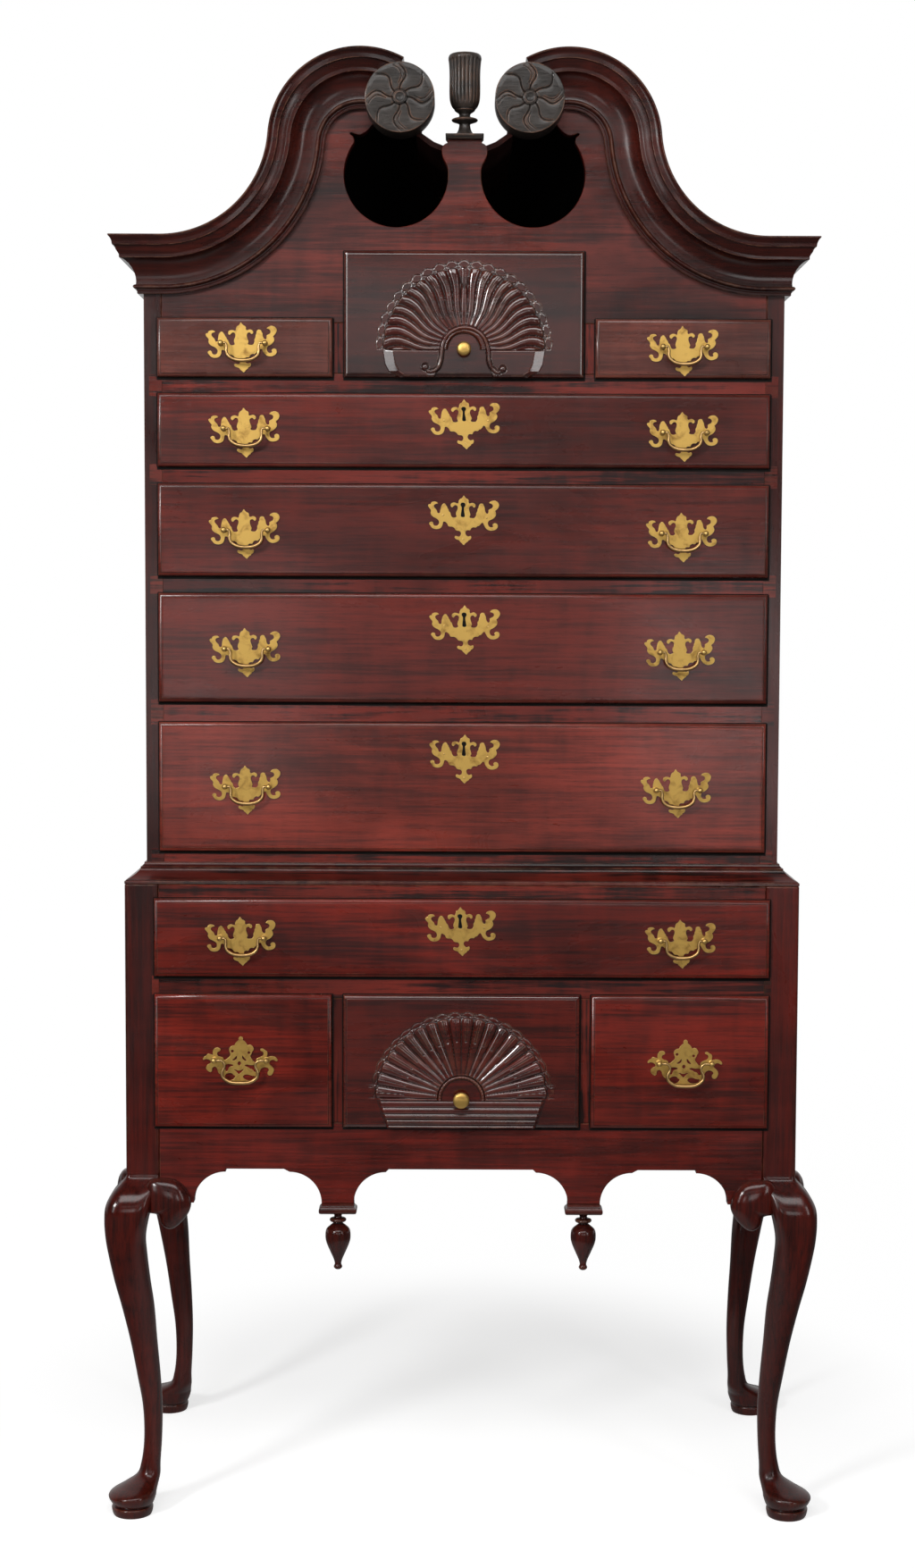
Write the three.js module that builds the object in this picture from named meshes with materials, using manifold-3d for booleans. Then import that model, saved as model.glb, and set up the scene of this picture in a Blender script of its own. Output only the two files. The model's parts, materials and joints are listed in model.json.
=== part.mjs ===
import * as THREE from 'three';
import { mergeVertices } from 'three/addons/utils/BufferGeometryUtils.js';
import Module from 'manifold-3d';

const wasm = await Module();
wasm.setup();

// A highboy: a chest on cabriole legs with a second chest on top, under a bonnet.
// Millimetres. It stands on z = 0, faces -Y, and is centred on x = 0 and y = 0.

// Driving dimensions of the two cases
const LOWER_WIDTH = 1005.2;
const LOWER_DEPTH = 495;
const UPPER_SETBACK = 29.8;
const POST = 50;
const SIDE_BOARD = 20;
const UPPER_SIDE_BOARD = 25.8;
const BACK_BOARD = 12;
const FRONT_BOARD = 22;
const RAIL_DEPTH = 60;
const DUST_BOARD = 12;
const TOP_BOARD = 12;
const PARTITION = 29;

// Clearances
const GAP = 0.3;
const DRAWER_SIDE_GAP = 1.2;
const DRAWER_TOP_GAP = 3;
const OVERRUN = 5;

// Heights of the lower case, from the floor up
const LOWER_ROW_BASE = 603;
const LOWER_ROW_OPENING = 188.2;
const LOWER_RAIL = 38.6;
const LOWER_LONG_OPENING = 105.1;
const LOWER_TOP_RAIL = 26.1;
const WAIST_HEIGHT = 31;

// Heights of the upper case, from its seat up
const BASE_RAIL = 53.5;
const LONG_OPENINGS = [181.5, 150.1, 124.5, 96.2];
const LONG_RAILS = [41.9, 37.1, 36.9, 35.5];
const TOP_ROW_OPENING = 74.5;
const SHELL_OPENING = 172.6;
const FRIEZE = 39.9;

// Drawers
const LIP = 6;
const LIP_PROUD = 10;
const LIP_BEVEL = 4;
const DRAWER_BOARD = 12;
const DRAWER_FRONT = 20;
const DRAWER_BOTTOM = 8;
const LOWER_CENTRE_OPENING = 341;
const UPPER_CENTRE_OPENING = 342;

// Scrolled crown
const CROWN_HEIGHT = 82;
const CROWN_PROUD = 46;
const SCROLL_START = 29;
const HOLLOW_RADIUS = 240;
const CREST_RADIUS = 53;
const SCROLL_TILT = THREE.MathUtils.degToRad(4.68);
const CREST_END = THREE.MathUtils.degToRad(62);
const CROWN_EDGE = 2;
const BONNET_BOARD = 8;
const ROSETTE_RADIUS = 50.5;
const ROSETTE_PROUD = 58;
const ROSETTE_OUT = 57.6;
const ROSETTE_UP = 61;
const EYE_RADIUS = 76.5;
const EYE_OUT = 51.1;
const EYE_DOWN = 40.2;
const NECK_HALF = 24.2;
const CAP_HALF = 28;
const CAP_DEPTH = 44;
const CAP_HEIGHT = 7;
const CAP_BASE = 10.2;
const FINIAL_HEIGHT = 118.7;
const FINIAL_RADIUS = 24.4;

// Legs
const KNEE_PROUD = 32;
const KNEE_BELOW_APRON = 13;
const BRACKET_LENGTH = 51;
const BRACKET_DROP = 79;
const BRACKET_PROUD = 24;
const BRACKET_ROUND = 8;

// Apron and its two drops
const APRON_HEIGHT = 71;
const TONGUE_DEPTH = 52;
const APRON_STEP = 4.5;
const APRON_SHOULDER = 8.6;
const APRON_ARC = 48;
const TONGUE_HALF = 24.2;
const DROP_CAP_HALF = 28.4;
const DROP_CAP_HEIGHT = 16;
const DROP_CAP_PROUD = 4;
const DROP_LENGTH = 87.4;
const DROP_RADIUS = 19;

// Brass
const PLATE_THICK = 1.6;
const PLATE_HALF = 52;
const PLATE_HEIGHT = 73.5;
const PLATE_TOP = 30;
const PIERCED_HALF = 57;
const PIERCED_TOP = 35;
const POST_SPAN = 65;
const PIERCED_SPAN = 78;
const POST_STANDOFF = 12;
const HEAD_RADIUS = 5;
const STEM_RADIUS = 3;
const STEM_FLARE = 1;
const BAIL_RADIUS = 1.4;
const BAIL_BORE = 1.85;
const BAIL_PIN = 3;
const BORE_DEPTH = 3.6;
const BAIL_DROP = 25;
const PIERCED_BAIL_DROP = 33;
const KNOB_RADIUS = 10.5;
const KNOB_LENGTH = 15;

// Carved shells, laid on the two centre drawers
const SHELL_PROUD = 5;
const RIB_DEPTH = 2.4;
const UPPER_SHELL_RADIUS = 119;
const LOWER_SHELL_RADIUS = 128;
const UPPER_SHELL_HUB = 32;
const LOWER_SHELL_HUB = 35;
const UPPER_HUB_RISE = 40.6;
const LOWER_HUB_RISE = 45.2;
const SHELL_FOOT_HALF = 113;
const UPPER_RIBS = 23;
const LOWER_RIBS = 22;

// Places that follow from the dimensions above
const halfLower = LOWER_WIDTH / 2;
const halfUpper = halfLower - UPPER_SETBACK;
const lowerFront = -LOWER_DEPTH / 2;
const upperFront = lowerFront + UPPER_SETBACK;
const back = LOWER_DEPTH / 2;
const innerLower = halfLower - POST;
const innerUpper = halfUpper - UPPER_SIDE_BOARD;
const backFace = back - BACK_BOARD;
const apronFlat = LOWER_ROW_BASE - APRON_HEIGHT;
const apronTip = apronFlat - TONGUE_DEPTH;
const kneeTop = apronFlat - KNEE_BELOW_APRON;
const lowerRowTop = LOWER_ROW_BASE + LOWER_ROW_OPENING;
const lowerLongBase = lowerRowTop + LOWER_RAIL;
const lowerLongTop = lowerLongBase + LOWER_LONG_OPENING;
const lowerTop = lowerLongTop + LOWER_TOP_RAIL;
const waistBase = lowerTop + GAP;
const upperBase = lowerTop + GAP;

const longBases = [];
let climb = upperBase + BASE_RAIL;
for (let i = 0; i < LONG_OPENINGS.length; i += 1) {
  longBases.push(climb);
  climb += LONG_OPENINGS[i] + LONG_RAILS[i];
}
const topRowBase = climb;
const topRowTop = topRowBase + TOP_ROW_OPENING;
const shellTop = topRowBase + SHELL_OPENING;
const crownBase = topRowTop + FRIEZE;
const caseTop = crownBase + CROWN_HEIGHT - CROWN_EDGE - BONNET_BOARD - GAP;

// The eyes stand beside the neck, the crests outside the eyes, and the hollows fill what is left
const eyeAcross = -NECK_HALF - EYE_RADIUS;
const hollowCentre = new THREE.Vector2(-halfUpper + SCROLL_START, crownBase + HOLLOW_RADIUS);
const crestCentre = new THREE.Vector2(
  eyeAcross - EYE_OUT,
  hollowCentre.y - Math.sin(SCROLL_TILT) * (HOLLOW_RADIUS + CREST_RADIUS),
);
const rosetteCentre = new THREE.Vector2(crestCentre.x + ROSETTE_OUT, crestCentre.y + ROSETTE_UP);
const eyeCentre = new THREE.Vector2(eyeAcross, crestCentre.y - EYE_DOWN);

// Finishes
const wood = { color: 0x4a1c14, roughness: 0.42, metalness: 0 };
const darkWood = { color: 0x2a1512, roughness: 0.45, metalness: 0 };
const secondaryWood = { color: 0x7a5a3a, roughness: 0.7, metalness: 0 };
const brass = { color: 0xb8923a, roughness: 0.34, metalness: 1 };
const bailBrass = { color: 0xb8793f, roughness: 0.3, metalness: 1 };

const highboy = new THREE.Group();

// Turning three.js shapes into solids and back
const MERGE = 1e-4;

function solid(geometry) {
  const bare = geometry.index ? geometry.toNonIndexed() : geometry.clone();
  bare.deleteAttribute('normal');
  bare.deleteAttribute('uv');
  const merged = mergeVertices(bare, MERGE);
  return new wasm.Manifold(new wasm.Mesh({
    numProp: 3,
    vertProperties: new Float32Array(merged.attributes.position.array),
    triVerts: new Uint32Array(merged.index.array),
  }));
}

function geometryOf(manifold) {
  const mesh = manifold.getMesh();
  const geometry = new THREE.BufferGeometry();
  geometry.setAttribute('position', new THREE.BufferAttribute(new Float32Array(mesh.vertProperties), 3));
  geometry.setIndex(new THREE.BufferAttribute(new Uint32Array(mesh.triVerts), 1));
  geometry.computeVertexNormals();
  return geometry;
}

function fuse(first, ...others) {
  return others.reduce((sum, next) => sum.add(next), first);
}

function cutAway(first, ...others) {
  return others.reduce((rest, next) => rest.subtract(next), first);
}

function addPiece(name, manifold, finish, parent = highboy) {
  const mesh = new THREE.Mesh(geometryOf(manifold), new THREE.MeshStandardMaterial(finish));
  mesh.name = name;
  parent.add(mesh);
  return mesh;
}

function slab(x0, x1, y0, y1, z0, z1) {
  const geometry = new THREE.BoxGeometry(x1 - x0, y1 - y0, z1 - z0);
  geometry.translate((x0 + x1) / 2, (y0 + y1) / 2, (z0 + z1) / 2);
  return solid(geometry);
}

function bothSides(x0, x1, y0, y1, z0, z1) {
  return [slab(x0, x1, y0, y1, z0, z1), slab(-x1, -x0, y0, y1, z0, z1)];
}

// An outline in x and z, given thickness from y0 to y1
function prism(outline, y0, y1, bevel = 0) {
  const shape = new THREE.Shape(outline.map(([x, z]) => new THREE.Vector2(x, z)));
  const geometry = new THREE.ExtrudeGeometry(shape, {
    depth: y1 - y0 - 2 * bevel,
    bevelEnabled: bevel > 0,
    bevelThickness: bevel,
    bevelSize: bevel,
    bevelOffset: -bevel,
    bevelSegments: 1,
  });
  geometry.rotateX(Math.PI / 2);
  geometry.translate(0, y1 - bevel, 0);
  return solid(geometry);
}

// A profile of [radius, height] turned about a vertical axis
function turned(profile, segments) {
  const geometry = new THREE.LatheGeometry(profile.map(([r, z]) => new THREE.Vector2(r, z)), segments);
  geometry.rotateX(Math.PI / 2);
  return solid(geometry);
}

// Rings of equal length, joined in order and closed by a flat cap at each end
function loft(rings, capShape) {
  const count = rings[0].length;
  const positions = rings.flat().flatMap((point) => [point.x, point.y, point.z]);
  const index = [];
  for (let ring = 0; ring + 1 < rings.length; ring += 1) {
    for (let i = 0; i < count; i += 1) {
      const next = (i + 1) % count;
      const a = ring * count + i;
      const b = ring * count + next;
      index.push(a, b, b + count, a, b + count, a + count);
    }
  }
  const last = (rings.length - 1) * count;
  for (const [a, b, c] of THREE.ShapeUtils.triangulateShape(capShape, [])) {
    index.push(c, b, a, last + a, last + b, last + c);
  }
  const geometry = new THREE.BufferGeometry();
  geometry.setAttribute('position', new THREE.Float32BufferAttribute(positions, 3));
  geometry.setIndex(index);
  const made = solid(geometry);
  return made.volume() > 0 ? made : solid(rewound(geometry));
}

// Mirroring turns a surface inside out, so its triangles are wound the other way after it
function rewound(geometry) {
  const index = geometry.index.array;
  geometry.setIndex(Array.from(index, (_, i) => index[i - (i % 3) + (2 - (i % 3))]));
  return geometry;
}

function mirrored(manifold, sideX = -1, sideY = 1) {
  const geometry = geometryOf(manifold).scale(sideX, sideY, 1);
  return solid(sideX * sideY < 0 ? rewound(geometry) : geometry);
}

function arcPoints(centre, radius, from, to, steps) {
  const points = [];
  for (let i = 0; i <= steps; i += 1) {
    const angle = from + ((to - from) * i) / steps;
    points.push([centre.x + radius * Math.cos(angle), centre.y + radius * Math.sin(angle)]);
  }
  return points;
}

function mirrorOutline(left) {
  return [...left, ...left.map(([x, z]) => [-x, z]).reverse()];
}

// Legs: [height, outer reach, inner reach, squareness], as shares of knee height, knee and post
const legShares = [
  [0, 0.72, 0.7, 2], [0.019, 0.8, 0.74, 2], [0.027, 0.68, 0.7, 2], [0.056, 0.95, 0.83, 2],
  [0.066, 0.85, 0.84, 2], [0.082, 0.3, 0.87, 2], [0.105, -0.33, 0.91, 2], [0.135, -0.5, 0.91, 2],
  [0.2, -0.63, 0.95, 2], [0.3, -0.59, 0.975, 2], [0.4, -0.35, 0.93, 2.1], [0.507, -0.066, 0.85, 2.3],
  [0.613, 0.29, 0.78, 2.5], [0.694, 0.59, 0.68, 2.7], [0.773, 0.83, 0.6, 2.9], [0.825, 0.95, 0.57, 3.2],
  [0.879, 1, 0.66, 3.6], [0.92, 0.94, 0.77, 4], [0.955, 0.66, 0.85, 5], [1.01, 0, 1, 12],
];
const LEG_SIDES = 12;

function squareRing(outer, inner, squareness, z) {
  const middle = (outer + inner) / 2;
  const reach = (outer - inner) / 2;
  const ring = [];
  for (let i = 0; i < LEG_SIDES; i += 1) {
    const angle = ((i + 0.5) / LEG_SIDES) * Math.PI * 2;
    const across = Math.cos(angle);
    const along = Math.sin(angle);
    const round = (Math.abs(across) ** squareness + Math.abs(along) ** squareness) ** (1 / squareness);
    ring.push(new THREE.Vector3(middle + (reach * across) / round, middle + (reach * along) / round, z));
  }
  return ring;
}

// Knee bracket: [inward, height], as shares of its length and drop, from the post's inner line
const bracketShares = [
  [-0.42, 0], [0.3, 0], [0.62, -0.08], [0.85, -0.26], [0.95, -0.46], [0.9, -0.64], [0.7, -0.82],
  [0.42, -0.98], [0.2, -0.97], [0.03, -0.86], [0.02, -0.74], [-0.08, -0.68], [-0.42, -0.66],
];

function makeLeg() {
  const rings = legShares.map(([height, outer, inner, squareness]) => {
    return squareRing(KNEE_PROUD * outer, -POST * inner, squareness, kneeTop * height);
  });
  const cap = rings[0].map((point) => new THREE.Vector2(point.x, point.y));
  const curve = loft(rings, cap);
  const post = slab(-POST, 0, -POST, 0, kneeTop - POST / 2, lowerTop);
  const outline = bracketShares.map(([along, drop]) => [
    -POST - BRACKET_LENGTH * along,
    kneeTop + BRACKET_DROP * drop,
  ]);
  const bracket = prism(outline, GAP, BRACKET_PROUD, BRACKET_ROUND);
  const rootEnd = -POST - BRACKET_LENGTH * bracketShares[0][0];
  const root = slab(-POST, rootEnd, -BRACKET_PROUD / 2, BRACKET_PROUD / 2, kneeTop - POST, kneeTop);
  const front = fuse(bracket, root);
  const side = solid(rewound(geometryOf(front).rotateZ(-Math.PI / 2).scale(1, -1, 1)));
  return fuse(curve, post, front, side);
}

const leg = makeLeg();
const legPlaces = [
  ['leg_front_left', -1, -1], ['leg_front_right', 1, -1],
  ['leg_back_left', -1, 1], ['leg_back_right', 1, 1],
];
for (const [name, sideX, sideY] of legPlaces) {
  const piece = addPiece(name, mirrored(leg, sideX, sideY), wood);
  piece.position.set(sideX * halfLower, (sideY * LOWER_DEPTH) / 2, 0);
}

// Lower case: side boards, top, partitions and runners, between the four posts
const sideReach = LOWER_DEPTH / 2 - POST - GAP;
const postGap = innerLower - GAP;
const lowerPartition = LOWER_CENTRE_OPENING / 2;
const behindApron = lowerFront + FRONT_BOARD + GAP;
const SCALLOP_STEPS = 6;

function sideOutline() {
  const flat = sideReach - APRON_ARC - APRON_STEP;
  const tip = { x: -flat - APRON_STEP, y: apronTip };
  const arc = arcPoints(tip, APRON_ARC, Math.PI, Math.PI / 2, SCALLOP_STEPS);
  const half = [[-sideReach, lowerTop], [-sideReach, apronTip], ...arc, [-flat, apronFlat]];
  return mirrorOutline(half);
}

function lowerCarcase() {
  const board = solid(geometryOf(prism(sideOutline(), 0, SIDE_BOARD)).rotateZ(Math.PI / 2));
  const right = solid(geometryOf(board).translate(halfLower, 0, 0));
  const left = solid(geometryOf(board).translate(-halfLower + SIDE_BOARD, 0, 0));
  const insideSide = halfLower - SIDE_BOARD;
  const runnerBase = LOWER_ROW_BASE - DUST_BOARD;
  return fuse(
    right,
    left,
    slab(-insideSide, insideSide, -sideReach, sideReach, lowerTop - TOP_BOARD, lowerTop),
    slab(-postGap, postGap, lowerFront, backFace - GAP, lowerTop - TOP_BOARD, lowerTop),
    slab(-postGap, postGap, lowerFront, lowerFront + RAIL_DEPTH, lowerLongTop, lowerTop),
    slab(-postGap, postGap, lowerFront, lowerFront + RAIL_DEPTH, lowerRowTop, lowerLongBase),
    slab(-postGap, postGap, lowerFront, backFace - GAP, lowerLongBase - DUST_BOARD, lowerLongBase),
    slab(-insideSide, insideSide, -sideReach, sideReach, lowerLongBase - DUST_BOARD, lowerLongBase),
    slab(-postGap, postGap, behindApron, backFace - GAP, runnerBase, LOWER_ROW_BASE),
    slab(-insideSide, insideSide, -sideReach, sideReach, runnerBase, LOWER_ROW_BASE),
    ...bothSides(lowerPartition, lowerPartition + PARTITION, lowerFront, backFace - GAP,
      LOWER_ROW_BASE, lowerRowTop + DUST_BOARD),
    ...bothSides(lowerPartition, lowerPartition + PARTITION, lowerFront + RAIL_DEPTH / 2, backFace - GAP,
      lowerRowTop, lowerLongBase - DUST_BOARD),
  );
}
addPiece('lower_carcase', lowerCarcase(), wood);

// Apron: a scalloped board below the lowest drawers
function apronOutline() {
  const dropPlace = lowerPartition + PARTITION / 2;
  const tongueIn = dropPlace - TONGUE_HALF;
  const tongueOut = dropPlace + TONGUE_HALF;
  const endFlat = postGap - BRACKET_LENGTH - APRON_STEP;
  const arcTop = apronFlat - APRON_STEP;
  const rise = arcTop - apronTip;
  const quarter = (x, sign) => {
    const points = [];
    for (let i = 0; i <= SCALLOP_STEPS; i += 1) {
      const angle = (i / SCALLOP_STEPS) * (Math.PI / 2);
      points.push([x + sign * APRON_ARC * (1 - Math.cos(angle)), apronTip + rise * Math.sin(angle)]);
    }
    return points;
  };
  const half = [
    [-postGap, LOWER_ROW_BASE - GAP],
    [-postGap, apronTip],
    ...quarter(-endFlat - APRON_STEP, 1),
    [-endFlat + APRON_ARC - APRON_STEP, apronFlat],
    [-tongueOut - APRON_ARC - APRON_SHOULDER, apronFlat],
    ...quarter(-tongueOut, -1).reverse(),
    ...quarter(-tongueIn, 1),
    [-tongueIn + APRON_ARC + APRON_STEP, apronFlat],
  ];
  return mirrorOutline(half);
}
addPiece('apron', prism(apronOutline(), lowerFront, lowerFront + FRONT_BOARD), wood);

addPiece('lower_back', slab(-postGap, postGap, backFace, back, apronFlat, lowerTop - GAP), secondaryWood);

// Drops under the apron: [radius, height below the cap], as shares of bulb radius and drop length
const dropShares = [
  [0, -1], [0.33, -0.96], [0.26, -0.9], [0.34, -0.82], [0.62, -0.68], [0.92, -0.52], [1, -0.42],
  [0.92, -0.29], [0.37, -0.18], [0.63, -0.14], [0.63, -0.105], [0.32, -0.08], [0.32, 0.02], [0, 0.02],
];
const DROP_SIDES = 12;
const dropCapTop = apronTip - GAP;
const dropCapBase = dropCapTop - DROP_CAP_HEIGHT;
for (const [name, side] of [['drop_left', -1], ['drop_right', 1]]) {
  const profile = dropShares.map(([r, z]) => [DROP_RADIUS * r, dropCapBase + DROP_LENGTH * z]);
  const turning = turned(profile, DROP_SIDES);
  const capBack = FRONT_BOARD / 2 + DROP_CAP_PROUD;
  const cap = slab(-DROP_CAP_HALF, DROP_CAP_HALF, -capBack, capBack, dropCapBase, dropCapTop);
  const piece = addPiece(name, fuse(cap, turning), darkWood);
  piece.position.set(side * (lowerPartition + PARTITION / 2), lowerFront + FRONT_BOARD / 2, 0);
}

// A moulding run from the back of one side, round the front corner
function mitredRings(profile, cornerX, cornerY, zBase, backEnd) {
  const out = profile.map(([p, h]) => new THREE.Vector3(cornerX - p, backEnd, zBase + h));
  const mitre = profile.map(([p, h]) => new THREE.Vector3(cornerX - p, cornerY - p, zBase + h));
  return [out, mitre];
}

function profileShape(profile) {
  return profile.map(([p, h]) => new THREE.Vector2(p, h));
}

// Waist moulding: [projection, height], as shares of the setback and the moulding's height
const waistShares = [
  [0, 0], [1, 0], [1, 0.16], [0.9, 0.22], [0.72, 0.32], [0.48, 0.48], [0.32, 0.62], [0.26, 0.67],
  [0.26, 0.77], [0.13, 0.87], [0.05, 1], [0, 1],
];
function waistMoulding() {
  const reach = UPPER_SETBACK - GAP;
  const profile = waistShares.map(([p, h]) => [p * reach, h * WAIST_HEIGHT]);
  const cornerY = upperFront - GAP;
  const left = mitredRings(profile, -halfUpper - GAP, cornerY, waistBase, back);
  const right = [...left].reverse().map((ring) => ring.map((v) => new THREE.Vector3(-v.x, v.y, v.z)));
  return loft([...left, ...right], profileShape(profile));
}
addPiece('waist_moulding', waistMoulding(), wood);

// Upper case: dovetailed box with a rail and dust board under each drawer, and two partitions
const upperPartition = UPPER_CENTRE_OPENING / 2;
const behindFrieze = upperFront + FRONT_BOARD + GAP;

function upperCarcase() {
  const boards = [
    ...bothSides(innerUpper, halfUpper, upperFront, back, upperBase, caseTop),
    slab(-innerUpper, innerUpper, upperFront, backFace - GAP, upperBase, upperBase + DUST_BOARD),
    slab(-innerUpper, innerUpper, upperFront, upperFront + RAIL_DEPTH, upperBase, longBases[0]),
    slab(-innerUpper, innerUpper, upperFront, backFace - GAP, longBases[0] - DUST_BOARD, longBases[0]),
    slab(-innerUpper, innerUpper, behindFrieze, backFace - GAP, caseTop - TOP_BOARD, caseTop),
  ];
  for (let i = 0; i < LONG_OPENINGS.length; i += 1) {
    const railBase = longBases[i] + LONG_OPENINGS[i];
    const railTop = railBase + LONG_RAILS[i];
    boards.push(slab(-innerUpper, innerUpper, upperFront, upperFront + RAIL_DEPTH, railBase, railTop));
    boards.push(slab(-innerUpper, innerUpper, upperFront, backFace - GAP, railTop - DUST_BOARD, railTop));
  }
  const outside = upperPartition + PARTITION;
  boards.push(...bothSides(upperPartition, outside, upperFront, backFace - GAP, topRowBase, topRowTop - GAP));
  boards.push(...bothSides(upperPartition, outside, behindFrieze, backFace - GAP, topRowBase, caseTop));
  return fuse(...boards);
}
addPiece('upper_carcase', upperCarcase(), wood);

// The scroll: a flat, a hollow and a crest, at a given height above the crown's lower edge
const HOLLOW_STEPS = 8;
const CREST_STEPS = 10;
const ROSETTE_SIDES = 24;
const hollowEnd = -SCROLL_TILT;
const crestStart = Math.PI - SCROLL_TILT;

function scrollOutline(height, crestEnd = CREST_END) {
  const crest = arcPoints(crestCentre, CREST_RADIUS + height, crestStart, crestEnd, CREST_STEPS);
  const across = (crest[0][0] - hollowCentre.x) / Math.cos(hollowEnd);
  const hollow = arcPoints({ x: 0, y: 0 }, 1, -Math.PI / 2, hollowEnd, HOLLOW_STEPS);
  return [
    ...hollow.map(([x, z]) => [hollowCentre.x + across * x, hollowCentre.y + (HOLLOW_RADIUS - height) * z]),
    ...crest.slice(1),
  ];
}

// Crown: [projection, height], as shares of its projection and its height
const crownShares = [
  [0, 0], [0.17, 0], [0.28, 0.1], [0.28, 0.16], [0.2, 0.22], [0.24, 0.38], [0.38, 0.52],
  [0.61, 0.61], [0.68, 0.66], [0.81, 0.78], [0.89, 0.84], [1, 0.96], [1, 1], [0, 1],
];

function crownSide() {
  const profile = crownShares.map(([p, h]) => [p * CROWN_PROUD, h * CROWN_HEIGHT]);
  const face = upperFront - GAP;
  const rings = mitredRings(profile, -halfUpper - GAP, face, crownBase, back);
  const lines = profile.map(([, h]) => scrollOutline(h));
  for (let i = 0; i < lines[0].length; i += 1) {
    rings.push(profile.map(([p], k) => new THREE.Vector3(lines[k][i][0], face - p, lines[k][i][1])));
  }
  const run = loft(rings, profileShape(profile));
  const drum = turned([[0, 0], [ROSETTE_RADIUS + GAP, 0], [ROSETTE_RADIUS + GAP, 1], [0, 1]], ROSETTE_SIDES);
  const reach = ROSETTE_PROUD + OVERRUN;
  const hole = geometryOf(drum).scale(1, 1, 2 * reach).rotateX(Math.PI / 2);
  hole.translate(rosetteCentre.x, upperFront + reach, rosetteCentre.y);
  return cutAway(run, solid(hole));
}
const crown = crownSide();
addPiece('crown_left', crown, wood);
addPiece('crown_right', mirrored(crown), wood);

// Rosettes: a drum with a shallow crowned face and a button, [radius, projection]
const rosetteShares = [[0, 0], [1, 0], [1, 0.96], [0.2, 1], [0.16, 1.08], [0, 1.08]];
for (const [name, side] of [['rosette_left', 1], ['rosette_right', -1]]) {
  const profile = rosetteShares.map(([r, p]) => [r * ROSETTE_RADIUS, p * (ROSETTE_PROUD - OVERRUN)]);
  const drum = solid(geometryOf(turned(profile, ROSETTE_SIDES)).rotateX(Math.PI / 2));
  const piece = addPiece(name, drum, darkWood);
  piece.position.set(side * rosetteCentre.x, upperFront - GAP, rosetteCentre.y);
}

// The board behind the scrolls, with two round eyes open to the top beside the neck.
// Points near the eye are [across, up] from the eye's centre, as shares of its radius.
const lobeShares = [
  [-0.2, 1.2], [-0.43, 0.96], [-0.51, 0.865], [-0.67, 0.75], [-0.79, 0.765], [-0.885, 0.78],
  [-0.84, 0.73], [-0.8, 0.62],
];
const neckShares = [[0.99, 0.15], [0.93, 0.26], [0.875, 0.44], [0.9, 0.54], [0.97, 0.6]];
const EYE_STEPS = 20;
const plinthTop = crestCentre.y + CAP_BASE;

function friezeOutline() {
  const edge = CROWN_HEIGHT - CROWN_EDGE;
  const nearEye = (table) => table.map(([x, z]) => [
    eyeCentre.x + EYE_RADIUS * x,
    eyeCentre.y + EYE_RADIUS * z,
  ]);
  const fromAngle = Math.atan2(lobeShares.at(-1)[1], lobeShares.at(-1)[0]);
  const toAngle = Math.atan2(neckShares[0][1], neckShares[0][0]) + Math.PI * 2;
  const eye = arcPoints(eyeCentre, EYE_RADIUS, fromAngle, toAngle, EYE_STEPS).slice(1, -1);
  const half = [
    [-upperPartition, shellTop],
    [-upperPartition, topRowTop],
    [-halfUpper, topRowTop],
    [-halfUpper, crownBase + edge],
    ...scrollOutline(edge),
    [rosetteCentre.x, rosetteCentre.y],
    ...nearEye(lobeShares),
    ...eye,
    ...nearEye(neckShares),
    [-NECK_HALF, plinthTop],
  ];
  return mirrorOutline(half);
}

function frieze() {
  const board = prism(friezeOutline(), upperFront, upperFront + FRONT_BOARD);
  const sideRoom = bothSides(innerUpper - GAP, halfUpper + OVERRUN, upperFront - OVERRUN,
    upperFront + FRONT_BOARD + OVERRUN, topRowTop - OVERRUN, caseTop + GAP);
  return cutAway(board, ...sideRoom);
}
addPiece('tympanum', frieze(), wood);

// Bonnet: a bent roof over both scrolls, dipping to a valley between them.
// The dip is [across, up] from the rosette's centre, as shares of its radius.
const dipShares = [[0.14, 0.92], [0.42, 0.5], [0.57, -0.1], [0.6, -0.74], [0.97, -0.99], [1.33, -1.13]];

function roofLine() {
  const edge = CROWN_HEIGHT - CROWN_EDGE;
  const dip = dipShares.map(([x, z]) => [
    rosetteCentre.x + ROSETTE_RADIUS * x,
    rosetteCentre.y + ROSETTE_RADIUS * z,
  ]);
  return [[-halfUpper, crownBase + edge], ...scrollOutline(edge), ...dip];
}

function inset(line, depth) {
  return line.map(([x, z], i) => {
    const [x0, z0] = line[Math.max(i - 1, 0)];
    const [x1, z1] = line[Math.min(i + 1, line.length - 1)];
    const length = Math.hypot(x1 - x0, z1 - z0);
    return [x + ((z1 - z0) / length) * depth, z - ((x1 - x0) / length) * depth];
  });
}

function bonnet() {
  const line = roofLine();
  const roof = mirrorOutline(line);
  const under = inset(roof, BONNET_BOARD).reverse();
  under[0][0] = halfUpper;
  under[under.length - 1][0] = -halfUpper;
  return prism([...roof, ...under], behindFrieze, backFace - GAP);
}
addPiece('bonnet', bonnet(), wood);

function upperBack() {
  const low = innerUpper - GAP;
  const line = roofLine();
  line[0][0] = -low;
  return prism(mirrorOutline([[-low, upperBase], ...line]), backFace, back);
}
addPiece('upper_back', upperBack(), secondaryWood);

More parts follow.
